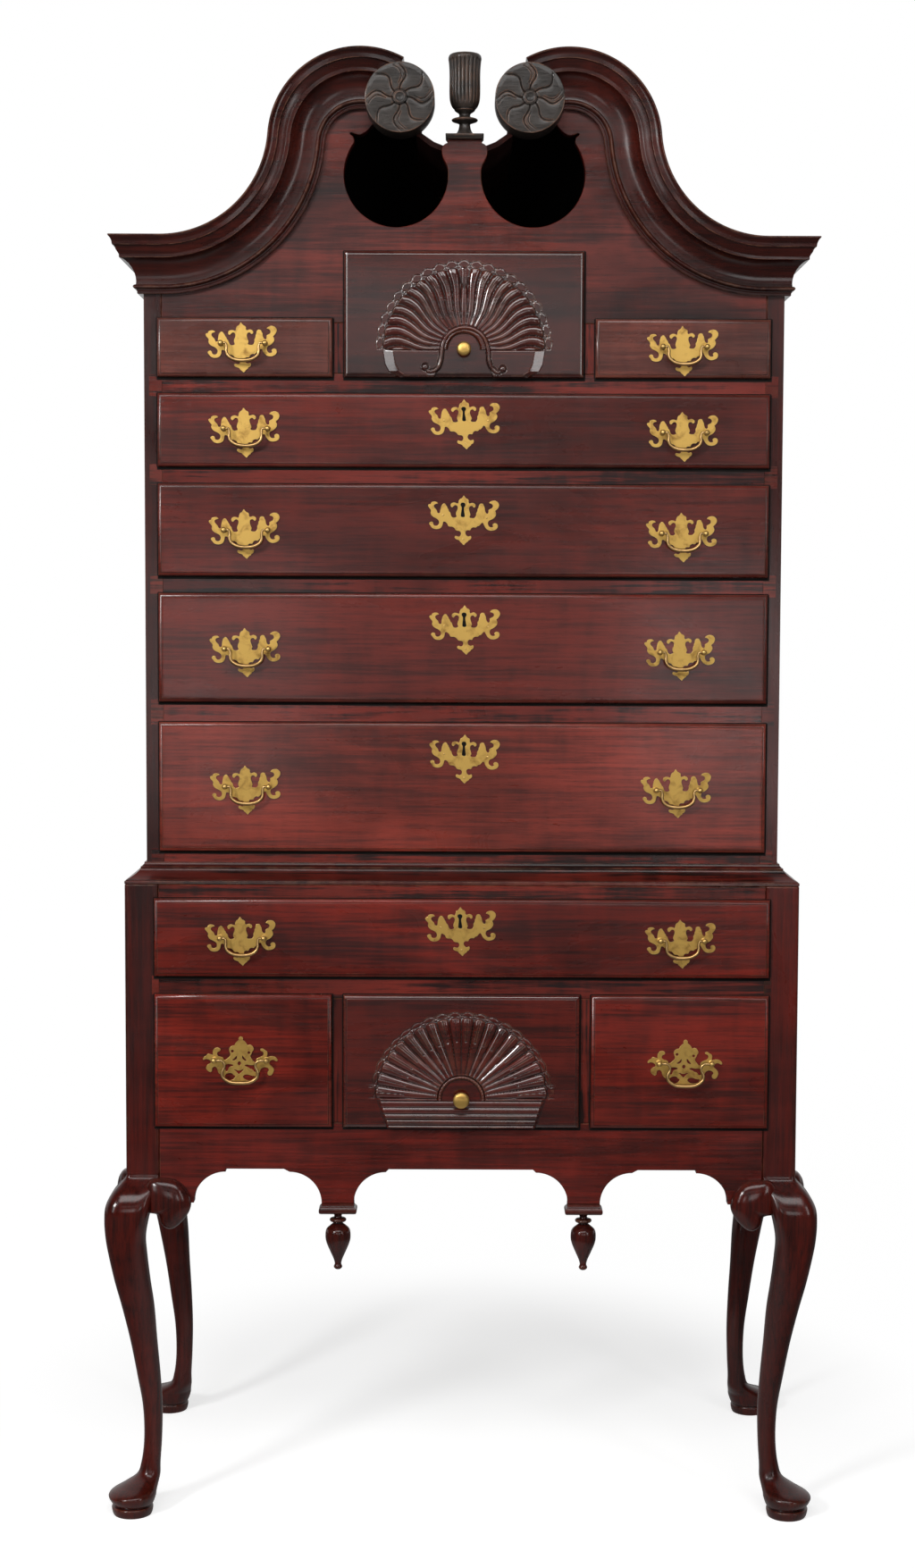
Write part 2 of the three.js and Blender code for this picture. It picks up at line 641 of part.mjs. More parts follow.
// Finial on its plinth cap: [radius, height], as shares of the urn's radius and the finial's height
const finialShares = [
  [0, 0], [0.57, 0], [0.36, 0.08], [0.34, 0.14], [0.77, 0.18], [0.77, 0.2], [0.33, 0.25],
  [0.6, 0.3], [0.85, 0.38], [0.925, 0.5], [0.925, 0.76], [1, 0.92], [0.9, 0.97], [0, 1],
];
const FINIAL_SIDES = 16;
const capTop = plinthTop + GAP + CAP_HEIGHT;
const neckMiddle = upperFront + FRONT_BOARD / 2;
const finialTurning = turned(
  finialShares.map(([r, z]) => [r * FINIAL_RADIUS, capTop + z * FINIAL_HEIGHT]),
  FINIAL_SIDES,
);
const finialCap = slab(-CAP_HALF, CAP_HALF, -CAP_DEPTH / 2, CAP_DEPTH / 2, plinthTop + GAP, capTop);
addPiece('finial', fuse(finialCap, finialTurning), darkWood).position.set(0, neckMiddle, 0);

// Drawers. Each stands in its own group at the middle of its opening's floor.
function drawerBox(width, height, depth) {
  const half = width / 2 - DRAWER_SIDE_GAP;
  const top = height - DRAWER_TOP_GAP;
  const outline = [
    [-width / 2 - LIP, -LIP], [width / 2 + LIP, -LIP],
    [width / 2 + LIP, height + LIP], [-width / 2 - LIP, height + LIP],
  ];
  const front = prism(outline, -LIP_PROUD, -GAP);
  const edge = solid(bevelledSlab(outline));
  const body = slab(-half, half, -LIP_PROUD / 2, depth, GAP, top);
  const inside = slab(-half + DRAWER_BOARD, half - DRAWER_BOARD, DRAWER_FRONT, depth - DRAWER_BOARD,
    GAP + DRAWER_BOTTOM, top + OVERRUN);
  return cutAway(fuse(front.intersect(edge), body), inside);
}

// Thumb-moulded edge: the front face is smaller than the lip's back all round
function bevelledSlab(outline) {
  const [[x0, z0], , [x1, z1]] = outline;
  const flat = [[x0, z0], [x1, z0], [x1, z1], [x0, z1]];
  const ring = (grow, y) => flat.map(([x, z], i) => new THREE.Vector3(
    x + (i === 0 || i === 3 ? -grow : grow), y, z + (i < 2 ? -grow : grow)));
  const rings = [ring(-LIP_BEVEL, -LIP_PROUD), ring(0, -LIP_PROUD + LIP_BEVEL / 2), ring(0, 0)];
  const shape = flat.map(([x, z]) => new THREE.Vector2(x, z));
  return geometryOf(loft(rings, shape));
}

// A carved fan: ribs round a plain hub, on a smooth foot that runs down to the drawer's lower edge.
// The rings are [share of the radius from hub to edge, share of the rib's depth].
const fanShares = [[0, 0], [0.5, 1], [0.92, 1], [1, 0]];
const HUB_STEPS = 6;

function shellCarving(radius, hub, rise, ribs) {
  const steps = ribs * 2;
  const rings = [];
  for (let i = 0; i <= steps; i += 1) {
    const angle = Math.PI * (i / steps);
    const inValley = i % 2 === 0 ? 1 : 0;
    const at = (r, y) => new THREE.Vector3(r * Math.cos(angle), y, r * Math.sin(angle));
    const line = fanShares.map(([share, lift]) => {
      const scallop = share === 1 ? RIB_DEPTH * inValley : 0;
      const reach = hub + (radius - hub) * share - scallop;
      return at(reach, -SHELL_PROUD + RIB_DEPTH * lift * inValley);
    });
    const centre = hub / 8;
    const edge = radius - RIB_DEPTH * inValley;
    rings.push([at(centre, LIP_PROUD / 2), at(centre, -SHELL_PROUD), ...line, at(edge, LIP_PROUD / 2)]);
  }
  const fan = loft(rings, rings[0].map((point) => new THREE.Vector2(point.x, point.y)));
  const top = RIB_DEPTH / 2;
  const foot = [
    [hub / 2, top], [radius - RIB_DEPTH, top],
    [SHELL_FOOT_HALF, GAP - rise], [-SHELL_FOOT_HALF, GAP - rise],
    [RIB_DEPTH - radius, top], [-hub / 2, top],
    ...arcPoints({ x: 0, y: top }, hub / 3, Math.PI, 0, HUB_STEPS),
  ];
  return fuse(fan, prism(foot, -SHELL_PROUD, LIP_PROUD / 2));
}

// Brass: plates of [across, up], as shares of half the width and of the height above and below the posts
const plateShares = [
  [0, 1], [0.12, 0.82], [0.14, 0.56], [0.32, 0.58], [0.34, 0.4], [0.2, 0.36], [0.22, -0.02], [0.34, -0.02],
  [0.5, 0.56], [0.62, 0.52], [0.72, 0.06], [0.82, 0.2], [0.8, 0.6], [1, 0.56], [0.92, 0.2], [0.72, -0.22],
  [0.76, -0.42], [0.94, -0.22], [1, -0.42], [0.84, -0.58], [0.64, -0.52], [0.58, -0.24], [0.42, -0.5],
  [0.1, -0.62], [0.24, -0.78], [0.14, -0.86], [0, -1],
];
const piercedShares = [
  [0, 1], [0.06, 0.88], [0.18, 0.76], [0.24, 0.58], [0.36, 0.62], [0.46, 0.44], [0.4, 0.2], [0.5, -0.05],
  [0.58, 0.02], [0.6, 0.24], [0.52, 0.42], [0.6, 0.5], [0.72, 0.3], [0.9, 0.2], [1, -0.02], [0.84, 0.02],
  [0.92, -0.34], [0.84, -0.56], [0.78, -0.24], [0.58, -0.2], [0.54, -0.6], [0.36, -0.92], [0, -1],
];

function plate(shares, halfWidth, above, span) {
  const below = PLATE_HEIGHT - above;
  const half = shares.map(([x, z]) => [x * halfWidth, z > 0 ? z * above : z * below]);
  const outline = [...half, ...half.slice(1, -1).reverse().map(([x, z]) => [-x, z])];
  const sheet = prism(outline, -PLATE_THICK, 0);
  return fuse(sheet, ...[-1, 1].map((side) => pullPost(side, span)));
}

const POST_SIDES = 6;

// A post with a ball head, bored on its inner side for the end of the bail
function pullPost(side, span) {
  const reach = POST_STANDOFF - HEAD_RADIUS;
  const head = [-0.8, 0, 0.7].map((share) => [
    HEAD_RADIUS * Math.sqrt(1 - share * share), POST_STANDOFF + HEAD_RADIUS * share,
  ]);
  const stem = [[0, 0], [STEM_RADIUS + STEM_FLARE, 0], [STEM_RADIUS, reach / 2]];
  const profile = [...stem, ...head, [0, POST_STANDOFF + HEAD_RADIUS]];
  const turning = geometryOf(turned(profile, POST_SIDES)).rotateX(Math.PI / 2);
  const bore = new THREE.CylinderGeometry(BAIL_BORE, BAIL_BORE, BORE_DEPTH + OVERRUN, POST_SIDES);
  bore.rotateZ(Math.PI / 2);
  bore.translate(-side * (HEAD_RADIUS + OVERRUN / 2 - BORE_DEPTH / 2), -POST_STANDOFF, 0);
  const drilled = solid(turning).subtract(solid(bore));
  return solid(geometryOf(drilled).translate((side * span) / 2, 0, 0));
}

// Bail: [across, up] from one post to the middle, as shares of half the span and of the drop
const bailShares = [
  [0.72, 0], [0.61, -0.1], [0.58, -0.3], [0.68, -0.52], [0.66, -0.74], [0.4, -0.97], [0, -1.02],
];

const BAIL_SIDES = 5;
const BAIL_STEPS = 15;

function bail(span, drop) {
  const half = span / 2;
  const pinEnd = half - HEAD_RADIUS + BAIL_PIN;
  const right = bailShares.map(([x, z]) => new THREE.Vector3(x * half, 0, z * drop));
  const left = right.slice(0, -1).map((v) => new THREE.Vector3(-v.x, 0, v.z)).reverse();
  const line = [
    new THREE.Vector3(pinEnd, 0, 0), new THREE.Vector3(half - HEAD_RADIUS, 0, 0), ...right,
    ...left, new THREE.Vector3(-half + HEAD_RADIUS, 0, 0), new THREE.Vector3(-pinEnd, 0, 0),
  ];
  const ring = arcPoints({ x: 0, y: 0 }, BAIL_RADIUS, 0, Math.PI * 2, BAIL_SIDES).slice(1);
  const section = new THREE.Shape(ring.map(([x, z]) => new THREE.Vector2(x, z)));
  const curve = new THREE.CatmullRomCurve3(line, false, 'centripetal');
  return solid(new THREE.ExtrudeGeometry(section, { steps: BAIL_STEPS, extrudePath: curve }));
}

// Knob: [radius, projection], as shares of its radius and length
const knobShares = [
  [0, 0], [0.5, 0], [0.36, 0.3], [0.5, 0.42], [1, 0.6], [1, 0.75], [0.7, 0.95], [0, 1],
];
const KNOB_SIDES = 12;

function knob() {
  const profile = knobShares.map(([r, y]) => [r * KNOB_RADIUS, y * KNOB_LENGTH]);
  return solid(geometryOf(turned(profile, KNOB_SIDES)).rotateX(Math.PI / 2));
}

const lowerDepth = LOWER_DEPTH - BACK_BOARD - RAIL_DEPTH / 2;
const upperDepth = LOWER_DEPTH - UPPER_SETBACK - BACK_BOARD - RAIL_DEPTH / 2;
const lowerSideOpening = innerLower - lowerPartition - PARTITION;
const upperSideOpening = innerUpper - upperPartition - PARTITION;
const lowerSideMiddle = lowerPartition + PARTITION + lowerSideOpening / 2;
const upperSideMiddle = upperPartition + PARTITION + upperSideOpening / 2;

const plain = plate(plateShares, PLATE_HALF, PLATE_TOP, POST_SPAN);
const pierced = plate(piercedShares, PIERCED_HALF, PIERCED_TOP, PIERCED_SPAN);
const plainBail = bail(POST_SPAN, BAIL_DROP);
const piercedBail = bail(PIERCED_SPAN, PIERCED_BAIL_DROP);

function addPull(group, name, x, z, isPierced) {
  const plateFace = -LIP_PROUD - GAP;
  addPiece(`plate_${name}`, isPierced ? pierced : plain, brass, group).position.set(x, plateFace, z);
  const swing = addPiece(`bail_${name}`, isPierced ? piercedBail : plainBail, bailBrass, group);
  swing.position.set(x, plateFace - POST_STANDOFF, z);
}

// Each pull is [name ending, share of half the opening's width, share of its height, pierced or plain]
function addDrawer(name, x, front, z, width, height, depth, pulls, carving) {
  const group = new THREE.Group();
  group.position.set(x, front, z);
  let box = drawerBox(width, height, depth);
  if (carving) box = fuse(box, solid(geometryOf(carving.shape).translate(0, -LIP_PROUD, carving.rise)));
  addPiece(`drawer_${name}`, box, wood, group);
  for (const [ending, across, up, isPierced] of pulls) {
    addPull(group, `${name}${ending}`, (across * width) / 2, height * up, isPierced);
  }
  if (carving) {
    const face = -LIP_PROUD - SHELL_PROUD - GAP;
    addPiece(`knob_${name}`, knob(), brass, group).position.set(0, face, carving.rise);
  }
  highboy.add(group);
}

function pullPair(leftShares, rightShares) {
  return [['_left', ...leftShares, false], ['_right', ...rightShares, false]];
}

const lowerShell = shellCarving(LOWER_SHELL_RADIUS, LOWER_SHELL_HUB, LOWER_HUB_RISE, LOWER_RIBS);
const upperShell = shellCarving(UPPER_SHELL_RADIUS, UPPER_SHELL_HUB, UPPER_HUB_RISE, UPPER_RIBS);
const lowerCarving = { shape: lowerShell, rise: LOWER_HUB_RISE - LIP };
const upperCarving = { shape: upperShell, rise: UPPER_HUB_RISE - LIP };

addDrawer('lower_long', 0, lowerFront, lowerLongBase, 2 * innerLower, LOWER_LONG_OPENING, lowerDepth,
  pullPair([-0.721, 0.513], [0.724, 0.495]));
const lowerSides = [['lower_left', -1, -0.027, 0.517], ['lower_right', 1, 0.062, 0.503]];
for (const [name, side, across, up] of lowerSides) {
  addDrawer(name, side * lowerSideMiddle, lowerFront, LOWER_ROW_BASE, lowerSideOpening, LOWER_ROW_OPENING,
    lowerDepth, [['', across, up, true]]);
}
addDrawer('lower_shell', 0, lowerFront, LOWER_ROW_BASE, LOWER_CENTRE_OPENING, LOWER_ROW_OPENING,
  lowerDepth, [], lowerCarving);
const longDrawers = [
  ['upper_fourth', pullPair([-0.718, 0.508], [0.719, 0.49])],
  ['upper_third', pullPair([-0.718, 0.49], [0.727, 0.471])],
  ['upper_second', pullPair([-0.719, 0.496], [0.729, 0.473])],
  ['upper_first', pullPair([-0.719, 0.511], [0.729, 0.472])],
];
longDrawers.forEach(([name, pulls], i) => {
  addDrawer(name, 0, upperFront, longBases[i], 2 * innerUpper, LONG_OPENINGS[i], upperDepth, pulls);
});
const topSides = [['top_left', -1, -0.013, 0.565], ['top_right', 1, 0.011, 0.522]];
for (const [name, side, across, up] of topSides) {
  addDrawer(name, side * upperSideMiddle, upperFront, topRowBase, upperSideOpening, TOP_ROW_OPENING,
    upperDepth, [['', across, up, false]]);
}
addDrawer('top_shell', 0, upperFront, topRowBase, UPPER_CENTRE_OPENING, SHELL_OPENING,
  upperDepth, [], upperCarving);

export default highboy;
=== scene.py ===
import json
import math

import bpy
import numpy as np
from bpy.props import FloatProperty, FloatVectorProperty, PointerProperty
from mathutils import Matrix, Vector


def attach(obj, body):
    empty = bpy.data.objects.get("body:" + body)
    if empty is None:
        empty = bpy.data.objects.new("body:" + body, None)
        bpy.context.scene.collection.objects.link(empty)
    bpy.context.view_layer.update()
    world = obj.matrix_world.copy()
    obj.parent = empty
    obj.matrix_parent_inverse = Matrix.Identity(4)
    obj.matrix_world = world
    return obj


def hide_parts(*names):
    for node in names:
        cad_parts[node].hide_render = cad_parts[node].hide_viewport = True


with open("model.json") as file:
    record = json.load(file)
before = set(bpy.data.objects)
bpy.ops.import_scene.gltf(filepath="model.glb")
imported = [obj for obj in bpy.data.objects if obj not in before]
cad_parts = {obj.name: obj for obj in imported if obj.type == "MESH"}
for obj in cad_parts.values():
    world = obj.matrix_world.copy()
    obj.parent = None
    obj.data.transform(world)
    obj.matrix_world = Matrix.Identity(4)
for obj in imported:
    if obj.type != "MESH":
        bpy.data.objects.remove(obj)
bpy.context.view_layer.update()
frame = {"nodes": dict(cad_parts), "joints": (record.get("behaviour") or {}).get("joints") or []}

bl_info = {
    "name": "Highboy Workshop",
    "version": (1, 0, 0),
    "blender": (4, 5, 0),
    "location": "3D View > Sidebar > Highboy",
    "description": "Dresses a highboy in carved wood, mouldings and brass pulls",
    "category": "Object",
}

MM = 0.001

# Lines of the two cases, in millimetres, with the front towards -Y
GAP = 0.3
LOWER_FRONT = -247.5
UPPER_FRONT = -217.7
BACK = 247.5
BACK_FACE = 235.5
HALF_LOWER = 502.6
HALF_UPPER = 472.8
INNER_LOWER = 452.6
INNER_UPPER = 447.0
RAIL_LOWER = INNER_LOWER - GAP
RAIL_UPPER = 446.9
BACK_UPPER = INNER_UPPER - GAP
RAIL_DEEP = 60.0
BOARD_DEEP = 22.0
SIDE_INSIDE = 482.6
DUST_END = BACK_FACE - GAP
DUST_THICK = 12
LOWER_SPLIT = 185
UPPER_SPLIT = 185.5
DIVIDER = 14.5
DIVIDER_BACK = -187.5
POST = 50.0
POST_INSIDE = BACK - POST - GAP
LIP = 6.0
LIP_PROUD = 10.0
KNEE_TOP = 519.0
APRON_FLAT = 532.0
APRON_TIP = 480.0
LOWER_TOP = 961.0
WAIST_BASE = 961.3
PLINTH_TOP = 2059.2
CROWN_BASE = 1832.9
CASE_TOP = 1904.6
SHELL_TOP = 1891.1
LOWER_ROW = (603.0, 791.2)
LONG_ROW = (829.8, 934.9)
TOP_ROW = (1718.5, 1793.0)
LOWER_HUB = 642.2
UPPER_HUB = 1753.1
# Bottom and top of the long drawers of the upper case
LONG_OPENINGS = {
    "upper_fourth": (1014.8, 1196.3),
    "upper_third": (1238.2, 1388.3),
    "upper_second": (1425.4, 1549.9),
    "upper_first": (1586.8, 1683.0),
}
# Front of each case, and the depth of its drawers
CASES = {"lower": (LOWER_FRONT, 453), "upper": (UPPER_FRONT, 423.2)}
# Scrolls, eyes, rosettes, finial and drops
SCROLL_BOARD = 80
HOLLOW_CENTRE = (-443.8, 2072.9)
CREST_CENTRE = (-151.8, 2049.0)
HOLLOW_RADIUS = 240.0
CREST_RADIUS = 53.0
SCROLL_TILT = math.radians(4.68)
CREST_END = math.radians(62)
ROSETTE = (-94.2, 2110.0)
ROSETTE_RADIUS = 50.5
EYE = (-100.7, 2008.8)
EYE_RADIUS = 76.5
NECK_HALF = 24.2
FINIAL_BASE = 2066.5
FINIAL_HEIGHT = 118.7
FINIAL_Y = -206.7
DROP_PLACE = (185, -236.5, 463.7)

# Curve of a leg: height, outer reach, inner reach and squareness, as shares of knee, knee and post
LEG_SHARES = [
    (0, 0.7, 0.69, 2), (0.004, 0.74, 0.71, 2), (0.019, 0.8, 0.74, 2), (0.025, 0.79, 0.73, 2), (0.028, 0.69, 0.7, 2),
    (0.034, 0.78, 0.75, 2), (0.056, 0.95, 0.83, 2), (0.066, 0.85, 0.84, 2), (0.082, 0.3, 0.87, 2),
    (0.105, -0.33, 0.91, 2), (0.135, -0.5, 0.91, 2), (0.2, -0.63, 0.95, 2), (0.3, -0.59, 0.975, 2),
    (0.4, -0.35, 0.93, 2.1), (0.507, -0.066, 0.85, 2.3), (0.613, 0.29, 0.78, 2.5), (0.694, 0.59, 0.68, 2.7),
    (0.773, 0.83, 0.6, 2.9), (0.825, 0.95, 0.57, 3.2), (0.879, 1, 0.66, 3.6), (0.92, 0.94, 0.77, 4),
    (0.955, 0.66, 0.85, 5), (0.985, 0.22, 0.96, 9), (1.0, 0.03, 1, 16), (1.01, 0, 1, 24),
]
KNEE_PROUD = 32.0
BRACKET_SIZE = (51, 79)
BRACKET_SHARES = [
    (-0.42, 0), (0.3, 0), (0.62, -0.08), (0.85, -0.26), (0.95, -0.46), (0.9, -0.64), (0.7, -0.82), (0.42, -0.98),
    (0.2, -0.97), (0.03, -0.86), (0.02, -0.74), (-0.08, -0.68), (-0.42, -0.66),
]
DROP_PROFILE = [
    (0, -1), (0.2, -0.99), (0.33, -0.96), (0.33, -0.935), (0.26, -0.9), (0.34, -0.82), (0.62, -0.68), (0.92, -0.52),
    (1, -0.42), (0.92, -0.29), (0.6, -0.22), (0.4, -0.185), (0.37, -0.17), (0.6, -0.15), (0.66, -0.123),
    (0.6, -0.1), (0.34, -0.085), (0.3, -0.05), (0.42, 0.0), (0.42, 0.02),
]
WAIST_SHARES = [
    (0, 0), (0.97, 0), (1, 0.03), (1, 0.13), (0.985, 0.165), (0.93, 0.17), (0.93, 0.205), (0.86, 0.235),
    (0.72, 0.31), (0.58, 0.4), (0.46, 0.49), (0.37, 0.57), (0.3, 0.66), (0.3, 0.7), (0.25, 0.7), (0.27, 0.74),
    (0.27, 0.78), (0.2, 0.8), (0.14, 0.86), (0.1, 0.93), (0.09, 1), (0, 1),
]
CROWN_PROFILE = [
    (0, 0), (7, 0), (8, 0.8), (8, 3.6), (9, 5), (9, 6.5), (12, 7.5), (13.6, 9.2), (13.6, 11), (12, 12.8),
    (9.6, 13.6), (9.2, 18), (9.8, 24), (11.4, 30.5), (14.6, 37), (19, 43), (24.5, 47.6), (28.5, 49.4), (31, 49.8),
    (31.4, 50.6), (31.4, 54), (32.4, 56), (35.4, 60.5), (37, 65), (38.4, 66.6), (40, 67), (40.4, 68), (41, 72),
    (42.6, 76), (44.6, 78.6), (45.6, 79.4), (46, 80.2), (46, 81.6), (45, 82), (0, 82),
]
FINIAL_PROFILE = [
    (0.5, -0.004), (0.57, 0), (0.57, 0.012), (0.5, 0.03), (0.4, 0.065), (0.35, 0.1), (0.34, 0.14), (0.5, 0.158),
    (0.74, 0.176), (0.79, 0.19), (0.74, 0.204), (0.5, 0.216), (0.36, 0.232), (0.33, 0.252), (0.38, 0.272),
    (0.52, 0.292), (0.62, 0.31), (0.62, 0.318), (0.74, 0.345), (0.85, 0.39), (0.905, 0.44), (0.925, 0.5),
    (0.93, 0.6), (0.925, 0.72), (0.94, 0.82), (0.975, 0.9), (1, 0.93), (0.99, 0.955), (0.95, 0.975), (0.86, 0.99),
    (0.6, 0.997), (0, 1),
]
KNOB_PROFILE = [
    (0, -0.02), (0.52, -0.02), (0.55, 0.05), (0.44, 0.12), (0.36, 0.25), (0.38, 0.34), (0.5, 0.42), (0.78, 0.48),
    (0.97, 0.58), (1, 0.66), (0.97, 0.75), (0.84, 0.86), (0.6, 0.94), (0.3, 0.985), (0, 1),
]
LOBE_SHARES = [
    (-0.2, 1.2), (-0.43, 0.96), (-0.51, 0.865), (-0.59, 0.79), (-0.67, 0.75), (-0.74, 0.748), (-0.79, 0.765),
    (-0.84, 0.785), (-0.885, 0.78), (-0.87, 0.745), (-0.84, 0.73), (-0.805, 0.68), (-0.8, 0.62),
]
NECK_SHARES = [
    (0.99, 0.12), (0.965, 0.2), (0.93, 0.26), (0.89, 0.35), (0.875, 0.44), (0.88, 0.5), (0.9, 0.545),
    (0.94, 0.58), (0.985, 0.6),
]
DIP_SHARES = [(0.14, 0.92), (0.42, 0.5), (0.57, -0.1), (0.6, -0.74), (0.97, -0.99), (1.33, -1.13)]

# Brass: outlines measured about the middle of a pull's two posts
PLATE_OUTLINE = [
    (-3.4, 31.3), (-1.5, 28.4), (0.7, 26.3), (2.6, 25.9), (4.5, 23.8), (3.9, 21.7), (5.1, 19.2), (7.2, 19.7),
    (10.1, 20.9), (13, 19.8), (15.1, 17.6), (14.7, 15.1), (13, 13.8), (11.3, 14.4), (10.8, 15.9), (9, 16.2),
    (7.2, 15.7), (5.7, 14.3), (5.4, 10.5), (6.8, 6.8), (8.2, 3.4), (8, 1.8), (6.8, 0.4), (7.4, -1.5), (10.5, -2),
    (13.8, -1.8), (15.5, -0.3), (17, 3), (16.3, 5.7), (17.5, 7.6), (18.5, 9.7), (18.3, 12.2), (19.8, 14.3),
    (19.7, 17.2), (21, 19.7), (23.8, 20.6), (26.3, 19.7), (27, 17.3), (28.5, 15.3), (29, 12), (29.6, 8.9),
    (31.7, 6.2), (34.2, 6.4), (34.8, 9.7), (34.2, 11.8), (37.1, 13.4), (39.6, 14.7), (40.8, 17.2), (40, 19.7),
    (37.5, 21.3), (34.2, 21.7), (36.7, 24.6), (41.3, 26.1), (45.4, 25.5), (48.7, 22.6), (49.7, 19.2), (48.7, 15.9),
    (46.7, 13), (43.8, 10.8), (45.2, 9), (46.1, 5.9), (45, 2.6), (42.5, -0.3), (39.6, -2.4), (36.9, -3.4),
    (35, -5.3), (34.6, -8.6), (35.9, -11.8), (38.4, -13.6), (41.1, -13.6), (43.3, -12.2), (41.7, -10.7),
    (42.3, -8.2), (45.4, -6.9), (48.7, -8.2), (49.7, -11.5), (48.7, -14.8), (46.2, -17.1), (42.1, -18.6),
    (37.9, -18.6), (34.2, -17.3), (31.3, -14.6), (29.2, -11.1), (27.8, -7.9), (25.9, -7.6), (23.8, -10.3),
    (21.7, -12.9), (19.2, -12.9), (18.7, -14.4), (16.5, -15.7), (14.7, -15), (12.3, -15.5), (10.3, -17.1),
    (9.7, -19), (8.7, -20.2), (6.4, -19.8), (4.5, -20), (2.6, -21.7), (2.2, -24.4), (3.4, -27.3), (5.9, -29.1),
    (8.2, -29), (10.1, -27.7), (11.5, -29.4), (11.3, -31.9), (9.7, -33.9), (7.2, -35), (7.2, -36.7), (5.4, -37.5),
    (3.2, -39.5), (1, -42.7), (-1.1, -40.6), (-3.2, -38.7), (-4.9, -37.5), (-5.4, -36), (-7.8, -34.9),
    (-10.4, -34.4), (-12.8, -32.7), (-13.2, -30.6), (-11.5, -29), (-9.3, -30), (-6.3, -30.2), (-4.4, -28.3),
    (-3.8, -25.4), (-4.9, -22.9), (-7.1, -21.6), (-10.1, -21.7), (-12.3, -20.8), (-13.4, -19), (-14.8, -17.5),
    (-17.3, -16.2), (-20.2, -16.2), (-22.7, -16.2), (-24.2, -14.8), (-25.2, -12.1), (-27.3, -10.3), (-29.4, -9.1),
    (-31.5, -9.6), (-31.9, -12.8), (-32.7, -16.2), (-34.5, -19), (-37.9, -20.9), (-42.7, -21.3), (-46.7, -20.2),
    (-48.9, -18.2), (-50.2, -16.1), (-52.3, -14), (-51.8, -11.7), (-48.9, -10.3), (-46.2, -11.5), (-46, -14.3),
    (-44.3, -16.1), (-41.4, -16.5), (-38.7, -15.2), (-37.4, -12.4), (-37.7, -9.4), (-39.3, -7.1), (-42.7, -5),
    (-46.8, -3.4), (-49.7, -0.9), (-51.3, 2.5), (-50.2, 5.5), (-51.8, 8), (-53.9, 10), (-55.6, 12.8), (-54.1, 14.9),
    (-51.4, 14.9), (-51.4, 17.2), (-49.3, 18.7), (-46, 19.3), (-42.7, 18.8), (-40.6, 16.6), (-43.5, 16.1),
    (-46.2, 14.7), (-46.8, 12.2), (-45.2, 9.7), (-42.4, 7.2), (-41.5, 5), (-40.8, 3), (-38.9, 2.4), (-37, 3),
    (-36.9, 6.4), (-36.4, 9.7), (-35.5, 13.4), (-33.9, 16.2), (-31.9, 17.5), (-29.8, 16.7), (-28.4, 14.3),
    (-26.9, 12.6), (-26.4, 10.5), (-24.8, 9.2), (-23.9, 5.9), (-21.9, 5), (-20.9, 1.4), (-19.4, -2), (-16.1, -2.9),
    (-13.2, -2), (-11.9, -0.7), (-12.8, 1), (-13.6, 3.4), (-12.8, 6.4), (-11.4, 9.7), (-11.1, 12.8), (-12.1, 15),
    (-14, 16), (-16.1, 15.8), (-17.7, 14.2), (-19.4, 12.1), (-21.5, 13.3), (-22.2, 16.2), (-20.9, 18.3),
    (-17.7, 19.7), (-14, 19.2), (-11.6, 18), (-10.7, 19.2), (-10.3, 22.1), (-8.9, 25.3), (-6.5, 26.2), (-4.9, 28.4),
]
